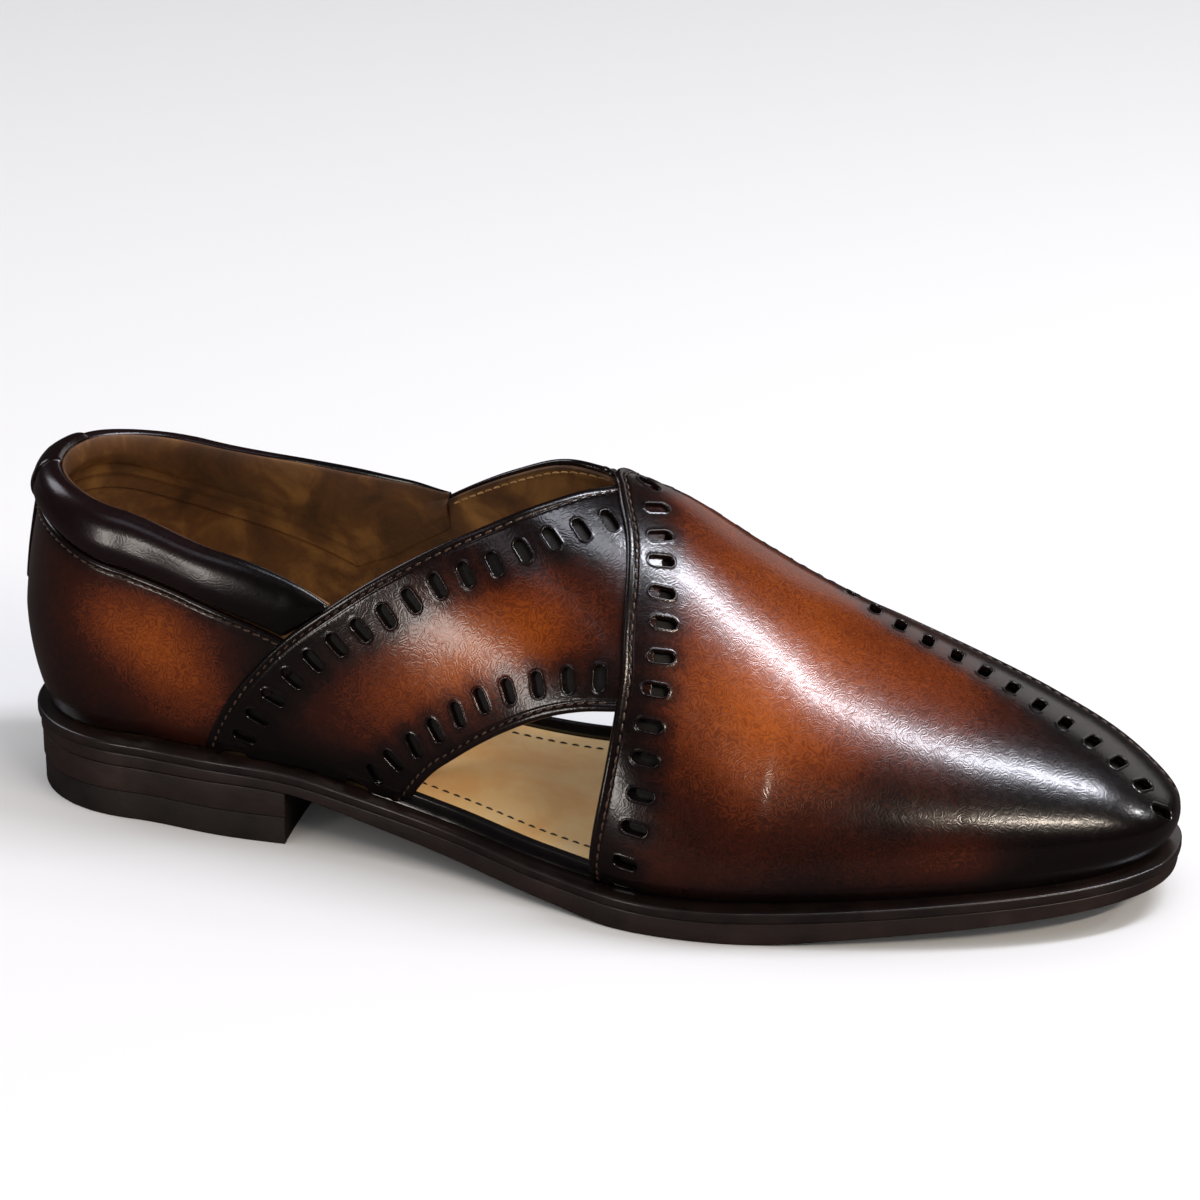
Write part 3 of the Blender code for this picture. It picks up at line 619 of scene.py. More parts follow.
strapSlots = {}
for side in sides:
    upper = slotSpines(spacedRow(rowLine(topRow, side), count=slotLook["topCount"]), strapTop[side])
    lower = slotSpines(spacedRow(rowLine(lowRow, side), count=slotLook["lowCount"]), strapLow[side])
    strapSlots[side] = np.concatenate([upper, lower], 1)
s, v = np.array(throatRow, float)
throatPlaces = np.vstack([chartPoint(s, lateral, v), chartPoint(s[1:4] - 2.5, medial, v[1:4])])
toeLine = np.vstack([rowLine(toeRow, medial, byHeight=False), rowLine(toeEnd, lateral, byHeight=False)])
toePlaces = spacedRow(toeLine, pitch=slotLook["toePitch"], first=2.5, end=0.5)
vampSlots = np.concatenate([slotSpines(throatPlaces, throatEdge), slotSpines(toePlaces, panelEdge)], 1)
print("edges laid out, with", sum(s.shape[1] for s in (*strapSlots.values(), vampSlots)), "slots")

# ---- panels ----
# For each kind of edge: where its shaping starts, measured from the edge, how far short of its line
# it stops, and then ten steps of distance from the edge and rise, round to the inner face. A hidden
# edge is cut straight through, so its rises are shares of the thickness.
edgeKinds = {
    "bead": (3.4, 0.0, [(3.0, -0.06), (2.6, -0.3), (2.2, -0.02), (1.75, 0.34), (1.2, 0.5), (0.65, 0.42),
                        (0.22, 0.06), (0.0, -0.5), (0.05, -1.3), (0.5, -1.9)]),
    "fold": (3.2, 0.0, [(2.9, -0.05), (2.5, -0.24), (2.1, -0.04), (1.6, 0.12), (1.0, 0.14), (0.5, 0.04),
                        (0.15, -0.2), (0.0, -0.55), (0.05, -1.0), (0.4, -1.4)]),
    "tuck": (2.4, 0.0, [(2.2, -0.02), (1.9, -0.18), (1.6, -0.02), (1.2, 0.05), (0.8, 0.0), (0.5, -0.12),
                        (0.25, -0.35), (0.1, -0.7), (0.05, -1.0), (0.3, -1.3)]),
    "slot": (0.85, slotLook["wide"] / 2, [
        (0.7, 0.03), (0.5, 0.11), (0.32, 0.12), (0.16, 0.03), (0.05, -0.14),
        (0.0, -0.35), (0.0, -0.7), (0.0, -1.0), (0.0, -1.3), (0.15, -1.5)]),
    "hidden": (0.0, 0.0, [(0.0, -0.09 * k) for k in range(1, 11)]),
    "trim": (1.0, 0.5, [(0.8, 0.0), (0.6, 0.0), (0.4, 0.0), (0.2, -0.03), (0.05, -0.15), (0.0, -0.4),
                        (0.0, -0.7), (0.1, -0.92), (0.35, -1.0), (0.7, -1.04)]),
}
# what each panel's look starts from: lengths in millimetres, tones from 0, black, to 1, rubbed thin; the
# darkening at the foot is painted shade
panelLook = {"spots": (), "footShade": (9.0, 0.35), "slotDark": 0.0, "backTone": 0.3, "rimTone": 0.6,
             "edgeRise": 1.0}
# how panels are cut: millimetres to one v near the foot, a distance that counts as far, the margin of
# the lattice, how near a cut may come to a corner, rounds and pace of finding it, and how far towards
# its foot an edge is shaped
cutting = {"footScale": 12, "far": 99.0, "margin": 1, "least": 0.02, "rounds": 3, "pace": 0.8,
           "share": 0.985}


def undulation(points, height):
    # long soft swells of the leather, as sums of waves that cross
    x, y, z = points.T
    swell = np.sin(x / 7.3 + 1.7 * np.sin(z / 11.0) + y / 13.0) + 0.8 * np.sin(z / 5.1 - x / 9.7 + 2.0)
    return height * (swell + 0.6 * np.sin(x / 3.4 + z / 4.3 + y / 5.9)) / 2


def flatGrid(low, high, step):
    # a lattice of equal triangles over a flat box
    rise = step * math.sqrt(3) / 2
    columns, rows = int((high[0] - low[0]) / step) + 2, int((high[1] - low[1]) / rise) + 2
    i, j = np.meshgrid(np.arange(columns), np.arange(rows))
    points = np.stack([low[0] + (i + (j % 2) / 2) * step, low[1] + j * rise], -1).reshape(-1, 2)
    a = (j * columns + i)[:-1, :-1]
    odd = (j[:-1, :-1] % 2).astype(bool)[..., None]
    b, c, d = a + 1, a + columns + 1, a + columns
    first = np.where(odd, np.stack([a, b, c], -1), np.stack([a, b, d], -1))
    second = np.where(odd, np.stack([a, c, d], -1), np.stack([b, c, d], -1))
    return points, np.concatenate([first.reshape(-1, 3), second.reshape(-1, 3)])


def turned(corners, leads):
    # triangles turned so that the one corner that leads comes first
    turn = (np.argmax(leads[corners], 1)[:, None] + np.arange(3)) % 3
    return np.take_along_axis(corners, turn, 1)


def toneOf(look, place, freeAway, holeAway):
    # depth of burnish, with painted shade in it: a base, lighter and darker places, and darker towards
    # edges, foot and slots; the darkening towards the foot, where the upper turns in to the sole, and some
    # of the dark places are painted shade
    tone = np.full(len(place), look["tone"])
    for x, y, z, radius, amount in look["spots"]:
        away2 = ((place - np.array([x, y, z])) ** 2).sum(1)
        tone = tone + amount * np.exp(-away2 / radius**2)
    above = np.maximum(place[:, 2] - soleTop(place[:, 0]), 0)
    slots = (3.0, look["slotDark"])
    for away, (width, amount) in ((freeAway, look["edgeDark"]), (above, look["footShade"]),
                                  (np.maximum(holeAway - 2.0, 0), slots)):
        tone = tone - amount * np.exp(-(away / width) ** 2)
    return np.clip(tone, 0, 1)


def makePanel(name, look, material, loops, slots=None, replaces=()):
    # a panel cut on the flat where its field falls to nothing, laid over the last, its edges turned down
    rings, segments = [], {}
    for loop in loops:
        ring = np.vstack([line for line, kind in loop])
        owner = np.repeat([kind for line, kind in loop], [len(line) for line, kind in loop])
        both = np.stack([onLast(ring), np.roll(onLast(ring), -1, axis=0)])
        rings.append(ring)
        for kind in dict.fromkeys(kind for line, kind in loop):
            known = segments.get(kind, np.empty((2, 0, 3)))
            segments[kind] = np.concatenate([known, both[:, owner == kind]], 1)
    kindNames = np.array(list(segments))
    reaches = np.array([sum(edgeKinds[kind][:2]) for kind in segments])

    def insideRings(flat):
        # inside one ring, but not inside a ring within it
        return np.logical_xor.reduce([insideOf(flat, ring) for ring in rings])

    def fieldAt(flat):
        # over 0 inside: distance on the last to each kind of edge, less where that edge's shaping starts
        s, side, v = chartPlace(flat)
        place = lastPoint(s, side, v)
        inside, columns = insideRings(flat), np.arange(len(flat))
        found = [nearest(place, *segments[kind]) for kind in segments]
        away, feet = (np.stack([one[k] for one in found]) for k in (0, 1))
        within, closest = away - reaches[:, None], away.argmin(0)
        which = np.where(inside, within.argmin(0), closest)
        value = np.where(inside, within.min(0), -(away[closest, columns] + reaches[closest]))
        foot, kinds = feet[which, columns], kindNames[which]
        freeAway = away[kindNames != "hidden"].min(0)
        footing = (v + 1) * cutting["footScale"]
        kinds = np.where(footing < value, "hidden", kinds)
        value = np.minimum(value, footing)
        holeAway = np.full(len(flat), cutting["far"])
        if slots is not None:
            holeAway, spine, number = nearest(place, *slots)
            hole = holeAway - sum(edgeKinds["slot"][:2])
            kinds = np.where(hole < value, "slot", kinds)
            foot = np.where((hole < value)[:, None], spine, foot)
            value = np.minimum(value, hole)
        return value, kinds, foot, place, freeAway, holeAway, (s, side, v)

    # triangles wholly inside stay, and those across the edge are cut where the field is nothing
    low, high = np.vstack(rings).min(0), np.vstack(rings).max(0)
    flat, triangles = flatGrid(low - cutting["margin"], high + cutting["margin"], look["grid"])
    triangles = triangles[insideRings(flat)[triangles].any(1)]
    used, triangles = np.unique(triangles, return_inverse=True)
    flat, triangles = flat[used], triangles.reshape(-1, 3)
    value = fieldAt(flat)[0]
    keep = value > 0
    count = keep[triangles].sum(1)
    lone, paired = turned(triangles[count == 1], keep), turned(triangles[count == 2], ~keep)
    cuts = np.vstack([lone[:, [0, 1]], lone[:, [0, 2]], paired[:, [1, 0]], paired[:, [2, 0]]])
    unique, which = np.unique(cuts[:, 0] * np.int64(len(flat)) + cuts[:, 1], return_inverse=True)
    inner, outer = unique // len(flat), unique % len(flat)
    t = value[inner] / (value[inner] - value[outer])
    span = np.maximum(value[inner] - value[outer], 0.05)
    for trial in range(cutting["rounds"]):
        at = flat[inner] + (flat[outer] - flat[inner]) * t[:, None]
        t = np.clip(t + fieldAt(at)[0] / span * cutting["pace"], cutting["least"], 1 - cutting["least"])
    at = flat[inner] + (flat[outer] - flat[inner]) * t[:, None]
    a, b, c, d = np.split(len(flat) + which, np.cumsum([len(lone), len(lone), len(paired)]))
    faces = np.vstack([triangles[count == 3], np.stack([lone[:, 0], a, b], 1),
                       np.stack([c, paired[:, 1], paired[:, 2]], 1), np.stack([c, paired[:, 2], d], 1)])
    rim = np.vstack([np.stack([b, a], 1), np.stack([c, d], 1)]) - len(flat)

    # the outer and inner faces, and rings of shaping between their rims
    start, total = len(flat), len(flat) + len(at)
    value, kinds, foot, place, freeAway, holeAway, spot = fieldAt(np.vstack([flat, at]))
    normal = lastNormal(*spot)
    rise = look["level"] + undulation(place, look["swell"])
    tone = toneOf(look, place, freeAway, holeAway)
    steps = [place + normal * rise[:, None], place + normal * (look["level"] - look["thickness"])]
    tones = [tone, tone * look["backTone"]]
    kinds, foot, place = kinds[start:], foot[start:], place[start:]
    normal, rise, tone = normal[start:], rise[start:], tone[start:]
    begin, short, shaping = (np.array([edgeKinds[kind][k] for kind in kinds]) for k in range(3))
    fall = np.where(kinds == "hidden", look["thickness"], look["edgeRise"])
    for inward, drop in shaping.transpose(1, 2, 0):
        share = (begin - inward) / np.maximum(begin + short, 1e-6)
        share = np.minimum(share, cutting["share"])  # corners stay open
        down = np.maximum(drop * fall, -look["thickness"])
        steps.append(place + (foot - place) * share[:, None] + normal * (rise + down)[:, None])
        tones.append(tone * look["rimTone"])
    once, between = np.arange(len(at)), range(len(steps) - 2)
    rounds = [start + once, *(2 * total + k * len(at) + once for k in between), total + start + once]
    strips = np.vstack([np.stack([near[rim[:, 0]], near[rim[:, 1]], far[rim[:, 1]], far[rim[:, 0]]], 1)
                        for near, far in zip(rounds, rounds[1:])])
    both = np.vstack([faces, faces[:, ::-1] + total])
    used, packed = np.unique(np.concatenate([both.ravel(), strips.ravel()]), return_inverse=True)
    makePiece(name, np.vstack(steps)[used],
              [packed[:both.size].reshape(-1, 3), packed[both.size:].reshape(-1, 4)],
              material, replaces=replaces, tone=np.concatenate(tones)[used])
    print(name, len(both) + 2 * len(strips), "triangles")


def mirrored(spots):
    # the same spots on the other side
    return [(x, -y, z, radius, amount) for x, y, z, radius, amount in spots]


# spots of tone: x, y, z, radius and amount
strapLook = {**panelLook, "level": levels["strap"], "thickness": 1.6, "grid": 0.7, "swell": 0.08,
             "tone": 0.27, "edgeDark": (4.0, 0.22), "slotDark": 0.18,
             "spots": [(124, -35, 58, 19, 0.44), (147, -33, 70, 15, 0.28), (103, -36, 44, 13, 0.16),
                       (152, -12, 91, 12, -0.22), (66, -36, 26, 14, -0.16)]}
vampLook = {**panelLook, "level": levels["vamp"], "thickness": 2.2, "grid": 0.96, "swell": 0.035,
            "tone": 0.51, "edgeDark": (10.0, 0.36), "slotDark": 0.16, "footShade": (7.0, 0.35),
            # the dark spots low on the outer side, where the vamp turns under towards the sole, are painted
            # shade; the dark toe is its burnish
            "spots": [(284, -6, 28, 30, -0.5), (300, 0, 20, 20, -0.2), (205, -26, 54, 28, 0.2),
                      (236, -40, 34, 14, -0.26), (262, -32, 32, 15, -0.22), (186, -50, 34, 14, -0.14),
                      (215, -47, 22, 18, -0.26), (190, -52, 22, 14, -0.12), (276, -27, 22, 14, -0.2),
                      (255, -37, 20, 8, 0.08), (262, 16, 46, 18, -0.16)]}
counterLook = {**panelLook, "level": levels["base"], "thickness": 1.3, "grid": 0.9, "swell": 0.14,
               "tone": 0.24, "edgeDark": (3.0, 0.18), "footShade": (6.0, 0.1),
               "spots": [(43, -34, 51, 16, 0.4), (27, -30, 58, 12, 0.12), (58, -34, 40, 12, 0.16),
                         (48, -34, 28, 12, 0.1), (0, 0, 55, 22, -0.18), (78, -36, 42, 14, -0.16)]}
counterLook["spots"] += mirrored(spot for spot in list(counterLook["spots"]) if spot[1])
lowerLook = {**panelLook, "level": levels["base"], "thickness": 1.3, "grid": 1.1, "swell": 0.12,
             "tone": 0.26, "edgeDark": (3.0, 0.2),
             "spots": [(214, 42, 28, 34, 0.24), (285, 10, 20, 26, -0.2)]}
stayLook = {**panelLook, "level": levels["stay"], "thickness": 1.2, "grid": 0.6, "swell": 0.08,
            "tone": 0.16, "edgeDark": (2.0, 0.15), "edgeRise": 0.7}
# the lining's tone sets how much of its dark colour it takes: all on its face against the upper, painted
# shade where the slots show it; half at its cut edges; none on its face towards the inside of the shoe
liningLook = {**panelLook, "level": -2.05, "thickness": 1.05, "grid": 1.15, "swell": 0.0, "tone": 1.0,
              "backTone": 0.0, "rimTone": 0.5, "edgeDark": (1.0, 0.0), "footShade": (1.0, 0.0)}

vampLoop = [(vampEdge, "bead"), (footLine(296, 300, medial), "hidden"),
            (footLine(300, 162, lateral), "hidden")]
makePanel("vamp", vampLook, calf, [vampLoop], vampSlots, ("upper",))
for side, name, end in ((lateral, "strapLateral", 158.0), (medial, "strapMedial", 154.0)):
    loop = [(strapTop[side], "fold"), (chartPoint(np.array([end, 162.0]), lateral, 1.0), "hidden"),
            (underVamp(side), "hidden"), (strapLow[side][::-1], "fold"),
            (footLine(108, 53, side), "hidden")]
    spots = strapLook["spots"] if side < 0 else mirrored(strapLook["spots"])
    makePanel(name, {**strapLook, "spots": spots}, calf, [loop], strapSlots[side])


def frontCut(side):
    # the counter's front edge, a little way under the strap's, and the seam as far as that edge
    line = strapTop[side] + leftOf(strapTop[side]) * 4.2 * side
    apart = np.linalg.norm(seamLine[side][:, None] - line[None], axis=2)
    seamEnd, lineEnd = np.unravel_index(apart.argmin(), apart.shape)
    return seamLine[side][:seamEnd], line[:lineEnd][::-1]


(seamNear, cutNear), (seamFar, cutFar) = frontCut(lateral), frontCut(medial)
counterLoop = [(seamNear[::-1], "tuck"), (seamFar, "tuck"), (cutFar, "hidden"),
               (footLine(56, 0, medial), "hidden"), (footLine(0, 56, lateral), "hidden"),
               (cutNear[::-1], "hidden")]
makePanel("counter", counterLook, calf, [counterLoop])

rearCut = throat[medial][:len(throat[medial]) - turnAt + 4]
overlap = panelEdge[:-1] - leftOf(panelEdge[:-1]) * 7.0
lowerLoop = [(rearCut, "fold"), (overlap, "hidden"), (footLine(297, 161, medial), "hidden")]
makePanel("lowerMedial", lowerLook, calf, [lowerLoop])

hole = [(topLine(lateral), "trim"), (topLine(medial)[::-1], "trim")]
rear = [(footLine(108.5, 0, lateral), "hidden"), (footLine(0, 108.5, medial), "hidden"),
        (strapLow[medial], "trim"), (underVamp(medial)[::-1], "hidden"),
        (underVamp(lateral), "hidden"), (strapLow[lateral][::-1], "trim")]
makePanel("rearLining", liningLook, liningSkin, [rear, hole])
front = [(tip, "trim"), (footLine(160, 300, medial), "hidden"), (footLine(300, 162, lateral), "hidden")]
makePanel("vampLining", liningLook, liningSkin, [front])


def stayEdge(side):
    # half as wide as the strip down the back of the heel
    z = evenly(50, 82.5, chart["lineStep"])
    wide = np.interp(z, [50, 60, 82], [5.0, 5.6, 9.0])
    s = np.linspace(0, 18, 400)
    at = np.interp(wide, np.abs(lastPoint(s, side, 0.2)[:, 1]), s)
    return chartPoint(at, side, placeAtHeight(at, side, z))


makePanel("backStay", stayLook, calf, [[(stayEdge(lateral), "fold"), (stayEdge(medial)[::-1], "fold")]])

# ---- padded collar ----
rollLook = {
    "top": {lateral: ([0, 12, 21, 35, 51, 73, 83, 90], [89.5, 89.2, 88, 84.5, 80, 74.8, 71, 67.2]),
            medial: ([0, 12, 21, 35, 52, 68, 84, 100, 106],
                     [89.5, 88.8, 87.2, 84.5, 82.5, 82, 81.6, 80.2, 79.6])},
    "thick": {lateral: ([0, 20, 60, 80, 90], [9.0, 8.5, 7.0, 4.6, 1.8]),
              medial: ([0, 20, 60, 92, 106], [9.0, 8.5, 7.0, 4.6, 1.8])},
    "seat": 0.6, "proud": 0.6, "inward": 0.62, "around": 36, "swell": 0.12, "underStrap": 2.5, "sink": 1.2,
}
# the lining over the roll's foot side: where round the roll it starts and ends, how far off it lies,
# how far it falls, and half its thickness either way; and the back strip over the roll
rollLining = {"turns": (0.42, 2.55), "off": 0.35, "start": 1.0, "fall": 6.0, "out": 0.25, "in": 0.4,
              "rim": 0.2}
rollStay = {"half": 9, "turns": (0.1, 3.5), "lift": 0.9, "out": 0.15, "in": 0.6, "tone": 0.12}


def rollRing(s, side, turn):
    # an oval stood on the seam: up its height, and out by half its thickness, less on the foot's side
    s, side = np.asarray(s, float)[:, None], np.asarray(side, float)[:, None]
    strap = eachSide(s, side, edges["strapTop"]) - rollLook["underStrap"] * ease(s, 78, 90)
    seat = np.maximum(smooth(s, *edges["seam"]), strap)
    low = lastPoint(s, side, placeAtHeight(s, side, seat))[..., 2] + rollLook["seat"]
    high, thick = eachSide(s, side, rollLook["top"]), eachSide(s, side, rollLook["thick"])
    up, half = (1 - np.cos(turn)) / 2, np.sin(turn)
    half = np.where(half < 0, half * rollLook["inward"], half)
    v = placeAtHeight(s, side, low + np.maximum(high - low, 0.6) * up)
    foot, crown = (levels["base"] + levels["lining"]) / 2, rollLook["proud"] - thick / 2
    depth = foot + (crown - foot) * np.minimum(up * 2, 1) + thick / 2 * half
    depth = depth - rollLook["sink"] * bySide(side, ease(s, 80, 90), ease(s, 94, 106))
    return lastPoint(s, side, v) + lastNormal(s, side, v) * depth[..., None]


def outward(grid):
    # square to a grid of points
    return unit(np.cross(np.gradient(grid, axis=0), np.gradient(grid, axis=1)))


def rollStations(step):
    # stations from the inner side's front end round the heel to the outer side's
    inner = evenly(rollLook["top"][medial][0][-1], 0, step)
    outer = evenly(0, rollLook["top"][lateral][0][-1], step)[1:]
    return np.concatenate([inner, outer]), np.repeat([medial, lateral], [len(inner), len(outer)])


def makeRoll():
    # the ovals joined up, swelled a little from their middles, and darker towards the straps, as painted
    # shade where the roll runs in under them
    stations, side = rollStations(1.1)
    rings = rollRing(stations, side, np.linspace(0, 2 * math.pi, rollLook["around"], endpoint=False))
    swell = undulation(rings.reshape(-1, 3), rollLook["swell"]).reshape(rings.shape[:2])
    rings = rings + unit(rings - rings.mean(1, keepdims=True)) * swell[..., None]
    points, faces = closedTube(rings, True)
    tone = np.repeat(0.62 - 0.6 * ease(stations, 50, 84), rollLook["around"])
    roll = makePiece("collarRoll", points, faces, collarCalf, "collar_leather", ("collar_roll",),
                     np.concatenate([tone, [0, 0]]))


def makeCollarLining():
    # from just under the roll's top down its foot side, and on down over the top of the lining
    stations, side = rollStations(1.3)
    upper = rollRing(stations, side, math.pi + np.linspace(*rollLining["turns"], 26))
    upper = upper + outward(upper) * rollLining["off"]
    lowest = upper[:, -1:]
    s, which = stations[:, None], side[:, None]
    drop = np.linspace(0, 1, 12)[None, 1:]
    v = placeAtHeight(s, which, lowest[..., 2] - rollLining["start"] - rollLining["fall"] * drop)
    wall = lastPoint(s, which, v) + lastNormal(s, which, v) * (levels["lining"] - 0.25)
    blend = ease(drop, 0, 0.45)[..., None]
    falling = np.concatenate([lowest[..., :2] + 0 * wall[..., :2], wall[..., 2:]], -1)
    face = np.concatenate([upper, falling * (1 - blend) + wall * blend], 1)
    rim = np.ones((*face.shape[:2], 1))
    rim[:, 0] = rollLining["rim"]
    out = outward(face) * rim
    points, faces = closedSheet(face + out * rollLining["out"], face - out * rollLining["in"])
    makePiece("collarLining", points, faces, liningSkin)


def makeCollarStay():
    # the back strip carried up over the roll, its two long edges turned down
    s = np.linspace(0, rollStay["half"], 16)
    stations, side = np.concatenate([s[::-1], s[1:]]), np.repeat([medial, lateral], [len(s), len(s) - 1])
    ring = rollRing(stations, side, np.linspace(*rollStay["turns"], 44))
    wide, out = np.linspace(-1, 1, len(stations))[:, None, None], outward(ring)
    lift = rollStay["lift"] * np.sqrt(np.clip(1 - wide**8, 0, 1))
    points, faces = closedSheet(ring + out * (lift - rollStay["out"]), ring - out * rollStay["in"])
    tone = np.full(len(points), rollStay["tone"])
    makePiece("collarStay", points, faces, calf, "collar_leather", tone=tone)


makeRoll()
makeCollarLining()
makeCollarStay()
print("padded collar made")

# ---- the sole ----
soleLook = {"count": 220, "flat": 14, "welt": 2.8, "weltRound": 0.7, "gap": 0.3, "outsoleInset": 0.7,
            "outsoleRound": 0.6, "insole": 2.7, "insoleInside": 3.3, "topLift": 7.6, "liftInset": 1.0,
            "liftRound": 0.35, "topLiftInset": 1.3, "topLiftRound": 0.4, "breast": 79.0, "hollow": 1.5,
            "breastCount": 13}


def outline(inset, heel):
    # once round an edge: the outer side forward, then back along the inner; a hollow breast closes a heel
    s = plan["length"] * (1 - np.cos(np.linspace(0, math.pi, soleLook["count"]))) / 2
    if heel:
        s = np.linspace(0, 1, soleLook["count"] // 3) ** 1.3 * (soleLook["breast"] - inset)
    outer, inner = (planPoint(s, side, inset(s, side) if callable(inset) else inset)[0] for side in sides)
    if not heel:
        return np.vstack([outer, inner[-2:0:-1]])
    across = np.linspace(-1, 1, soleLook["breastCount"] + 2)[1:-1, None]
    breast = (outer[-1] + inner[-1]) / 2 + (inner[-1] - outer[-1]) / 2 * across
    breast[:, 0] -= soleLook["hollow"] * (1 - across[:, 0] ** 2)
    return np.vstack([outer, breast, inner[:0:-1]])


def makePlate(name, material, slotName, node, rings, heel=False, sharp=40):
    # rings of one outline from the middle of the top, over the edge, to the middle of the bottom; a
    # ladder of quads closes each end, and a fan closes the breast
    flat = [outline(inset, heel) for inset, height in rings]
    loops = [np.column_stack([ring, height(ring[:, 0])]) for ring, (inset, height) in zip(flat, rings)]
    points, count, low = np.vstack(loops), len(flat[0]), (len(rings) - 1) * len(flat[0])
    rows = (count - soleLook["breastCount"] + 1) // 2 if heel else count // 2
    k = np.arange(1, rows - 1)
    quads = np.stack([k, k + 1, count - k - 1, count - k], 1)
    triangles = np.array([[0, 1, count - 1], [rows - 1, rows, rows + 1]])
    lowTriangles = triangles[:, ::-1] + low
    if heel:
        fan = np.arange(rows - 1, count - rows + 2)
        middle = len(points)
        points = np.vstack([points, loops[0][fan].mean(0), loops[-1][fan].mean(0)])
        fans = np.stack([fan, np.roll(fan, -1)], 1)
        triangles = np.vstack([triangles[:1], np.insert(fans, 2, middle, axis=1)])
        lowTriangles = np.vstack([lowTriangles[:1], np.insert(fans[:, ::-1] + low, 0, middle + 1, axis=1)])
    faces = [gridFaces(len(loops), count, True, True), quads, quads[:, ::-1] + low, triangles, lowTriangles]
    makePiece(name, points, faces, material, slotName, (node,), sharp=sharp)


def below(drop):
    # a height that lies a steady drop under the sole's upper face
    return lambda x: soleTop(x) - drop


def liftTop(x):
    # just under the outsole
    return soleBottom(x) - 0.1


def liftSplit(x):
    # level, where the rubber top lift begins
    return np.full_like(x, soleLook["topLift"])


def edgeRings(inset, top, bottom, radius):
    # a plate's flat top, two quarter circles of five points over its edge, and its flat bottom
    turn = np.linspace(0, math.pi / 2, 5)
    steps = list(zip(inset + radius * (1 - np.sin(turn)), radius * (1 - np.cos(turn))))
    upper = [(inward, lambda x, drop=drop: top(x) - drop) for inward, drop in steps]
    lower = [(inward, lambda x, drop=drop: bottom(x) + drop) for inward, drop in steps[::-1]]
    return [(inset + soleLook["flat"], top), *upper, *lower, (inset + soleLook["flat"], bottom)]


makePlate("welt", blackedWelt, "welt_leather", "midsole",
          edgeRings(0.0, soleTop, below(soleLook["welt"]), soleLook["weltRound"]))
makePlate("outsolePlate", inkedSole, "sole_leather", "outsole",
          edgeRings(soleLook["outsoleInset"], below(soleLook["welt"] + 0.1), soleBottom,
                    soleLook["outsoleRound"]))
makePlate("heelLift", inkedSole, "sole_leather", "heel_lift",
          edgeRings(soleLook["liftInset"], liftTop, lambda x: liftSplit(x) + 0.1,
                    soleLook["liftRound"]), heel=True)
makePlate("heelTopLift", topRubber, "heel_rubber", "heel_top_lift",
          edgeRings(soleLook["topLiftInset"], liftSplit, lambda x: x * 0,
                    soleLook["topLiftRound"]), heel=True)


def insoleInset(extra):
    # the insole's edge is a steady way in from the foot line
    return lambda s, side: insetAt(s, side, "footInset") + soleLook["insoleInside"] + extra


insoleRings = [(12, 2.75), (5, 2.75), (1.2, 2.7), (0.5, 2.6), (0.12, 2.3), (0, 1.9), (0, 0.6), (0.3, 0.1),
               (12, 0.0)]
makePlate("insoleSheet", vegTan, "insole_leather", "insole",
          [(insoleInset(extra), below(-soleLook["gap"] - rise)) for extra, rise in insoleRings], sharp=50)


# heights over the foot line and depths off the last, round the rand
randRows = [(-1.0, -0.6), (-1.0, -1.0), (1.6, -0.9), (3.2, -0.8), (3.9, -0.95), (4.2, -1.4),
            (4.25, -1.9), (4.1, -2.4), (3.7, -2.75), (2.0, -2.9), (-1.0, -3.0)]


def makeRand(side, name, first=100, end=176):
    # a narrow strip stood along the foot line across a window, rolled over at its top
    s = evenly(first, end, 1.0)[:, None]
    height, depth = np.array(randRows).T
    v = placeAtHeight(s, side, lastPoint(s, side, -1.0)[..., 2] + np.maximum(height, 0.02))
    place = lastPoint(s, side, v) + lastNormal(s, side, v) * depth[None, :, None]
    place[..., 2] += np.minimum(height, 0)
    makePiece(name, *closedTube(place, side < 0), blackRand)


makeRand(lateral, "randLateral")
makeRand(medial, "randMedial")
print("sole, insole and rands made")


# ---- stitches ----
threadLook = {"long": 2.2, "wide": 0.6, "slant": 6.0, "pitch": 2.75, "lowest": -0.98}
# along a stitch: share of its half length, share of its half width, and rise over the leather
stitchShape = [(-1.0, 0.25, -0.3), (-0.86, 0.7, -0.12), (-0.5, 1.0, 0.02), (0.0, 1.08, 0.08),
               (0.5, 1.0, 0.02), (0.86, 0.7, -0.12), (1.0, 0.25, -0.3)]


def stitchPlaces(flat, inset, level, pitch=threadLook["pitch"], first=0.0, end=0.0):
    # evenly along a line that lies a true distance to the left of a flat line: place, run and normal
    across = leftOf(flat) * np.sign(inset)
    scale = np.linalg.norm(onLast(flat + across) - onLast(flat), axis=1)
    moved = flat + across * (abs(inset) / np.maximum(scale, 0.3))[:, None]
    s, side, v = chartPlace(spacedRow(moved, pitch=pitch, first=first, end=end))
    keep = v > threadLook["lowest"]
    normal = lastNormal(s, side, v)
    at = lastPoint(s, side, v) + normal * level
    return at[keep], unit(np.gradient(at, axis=0))[keep], normal[keep]


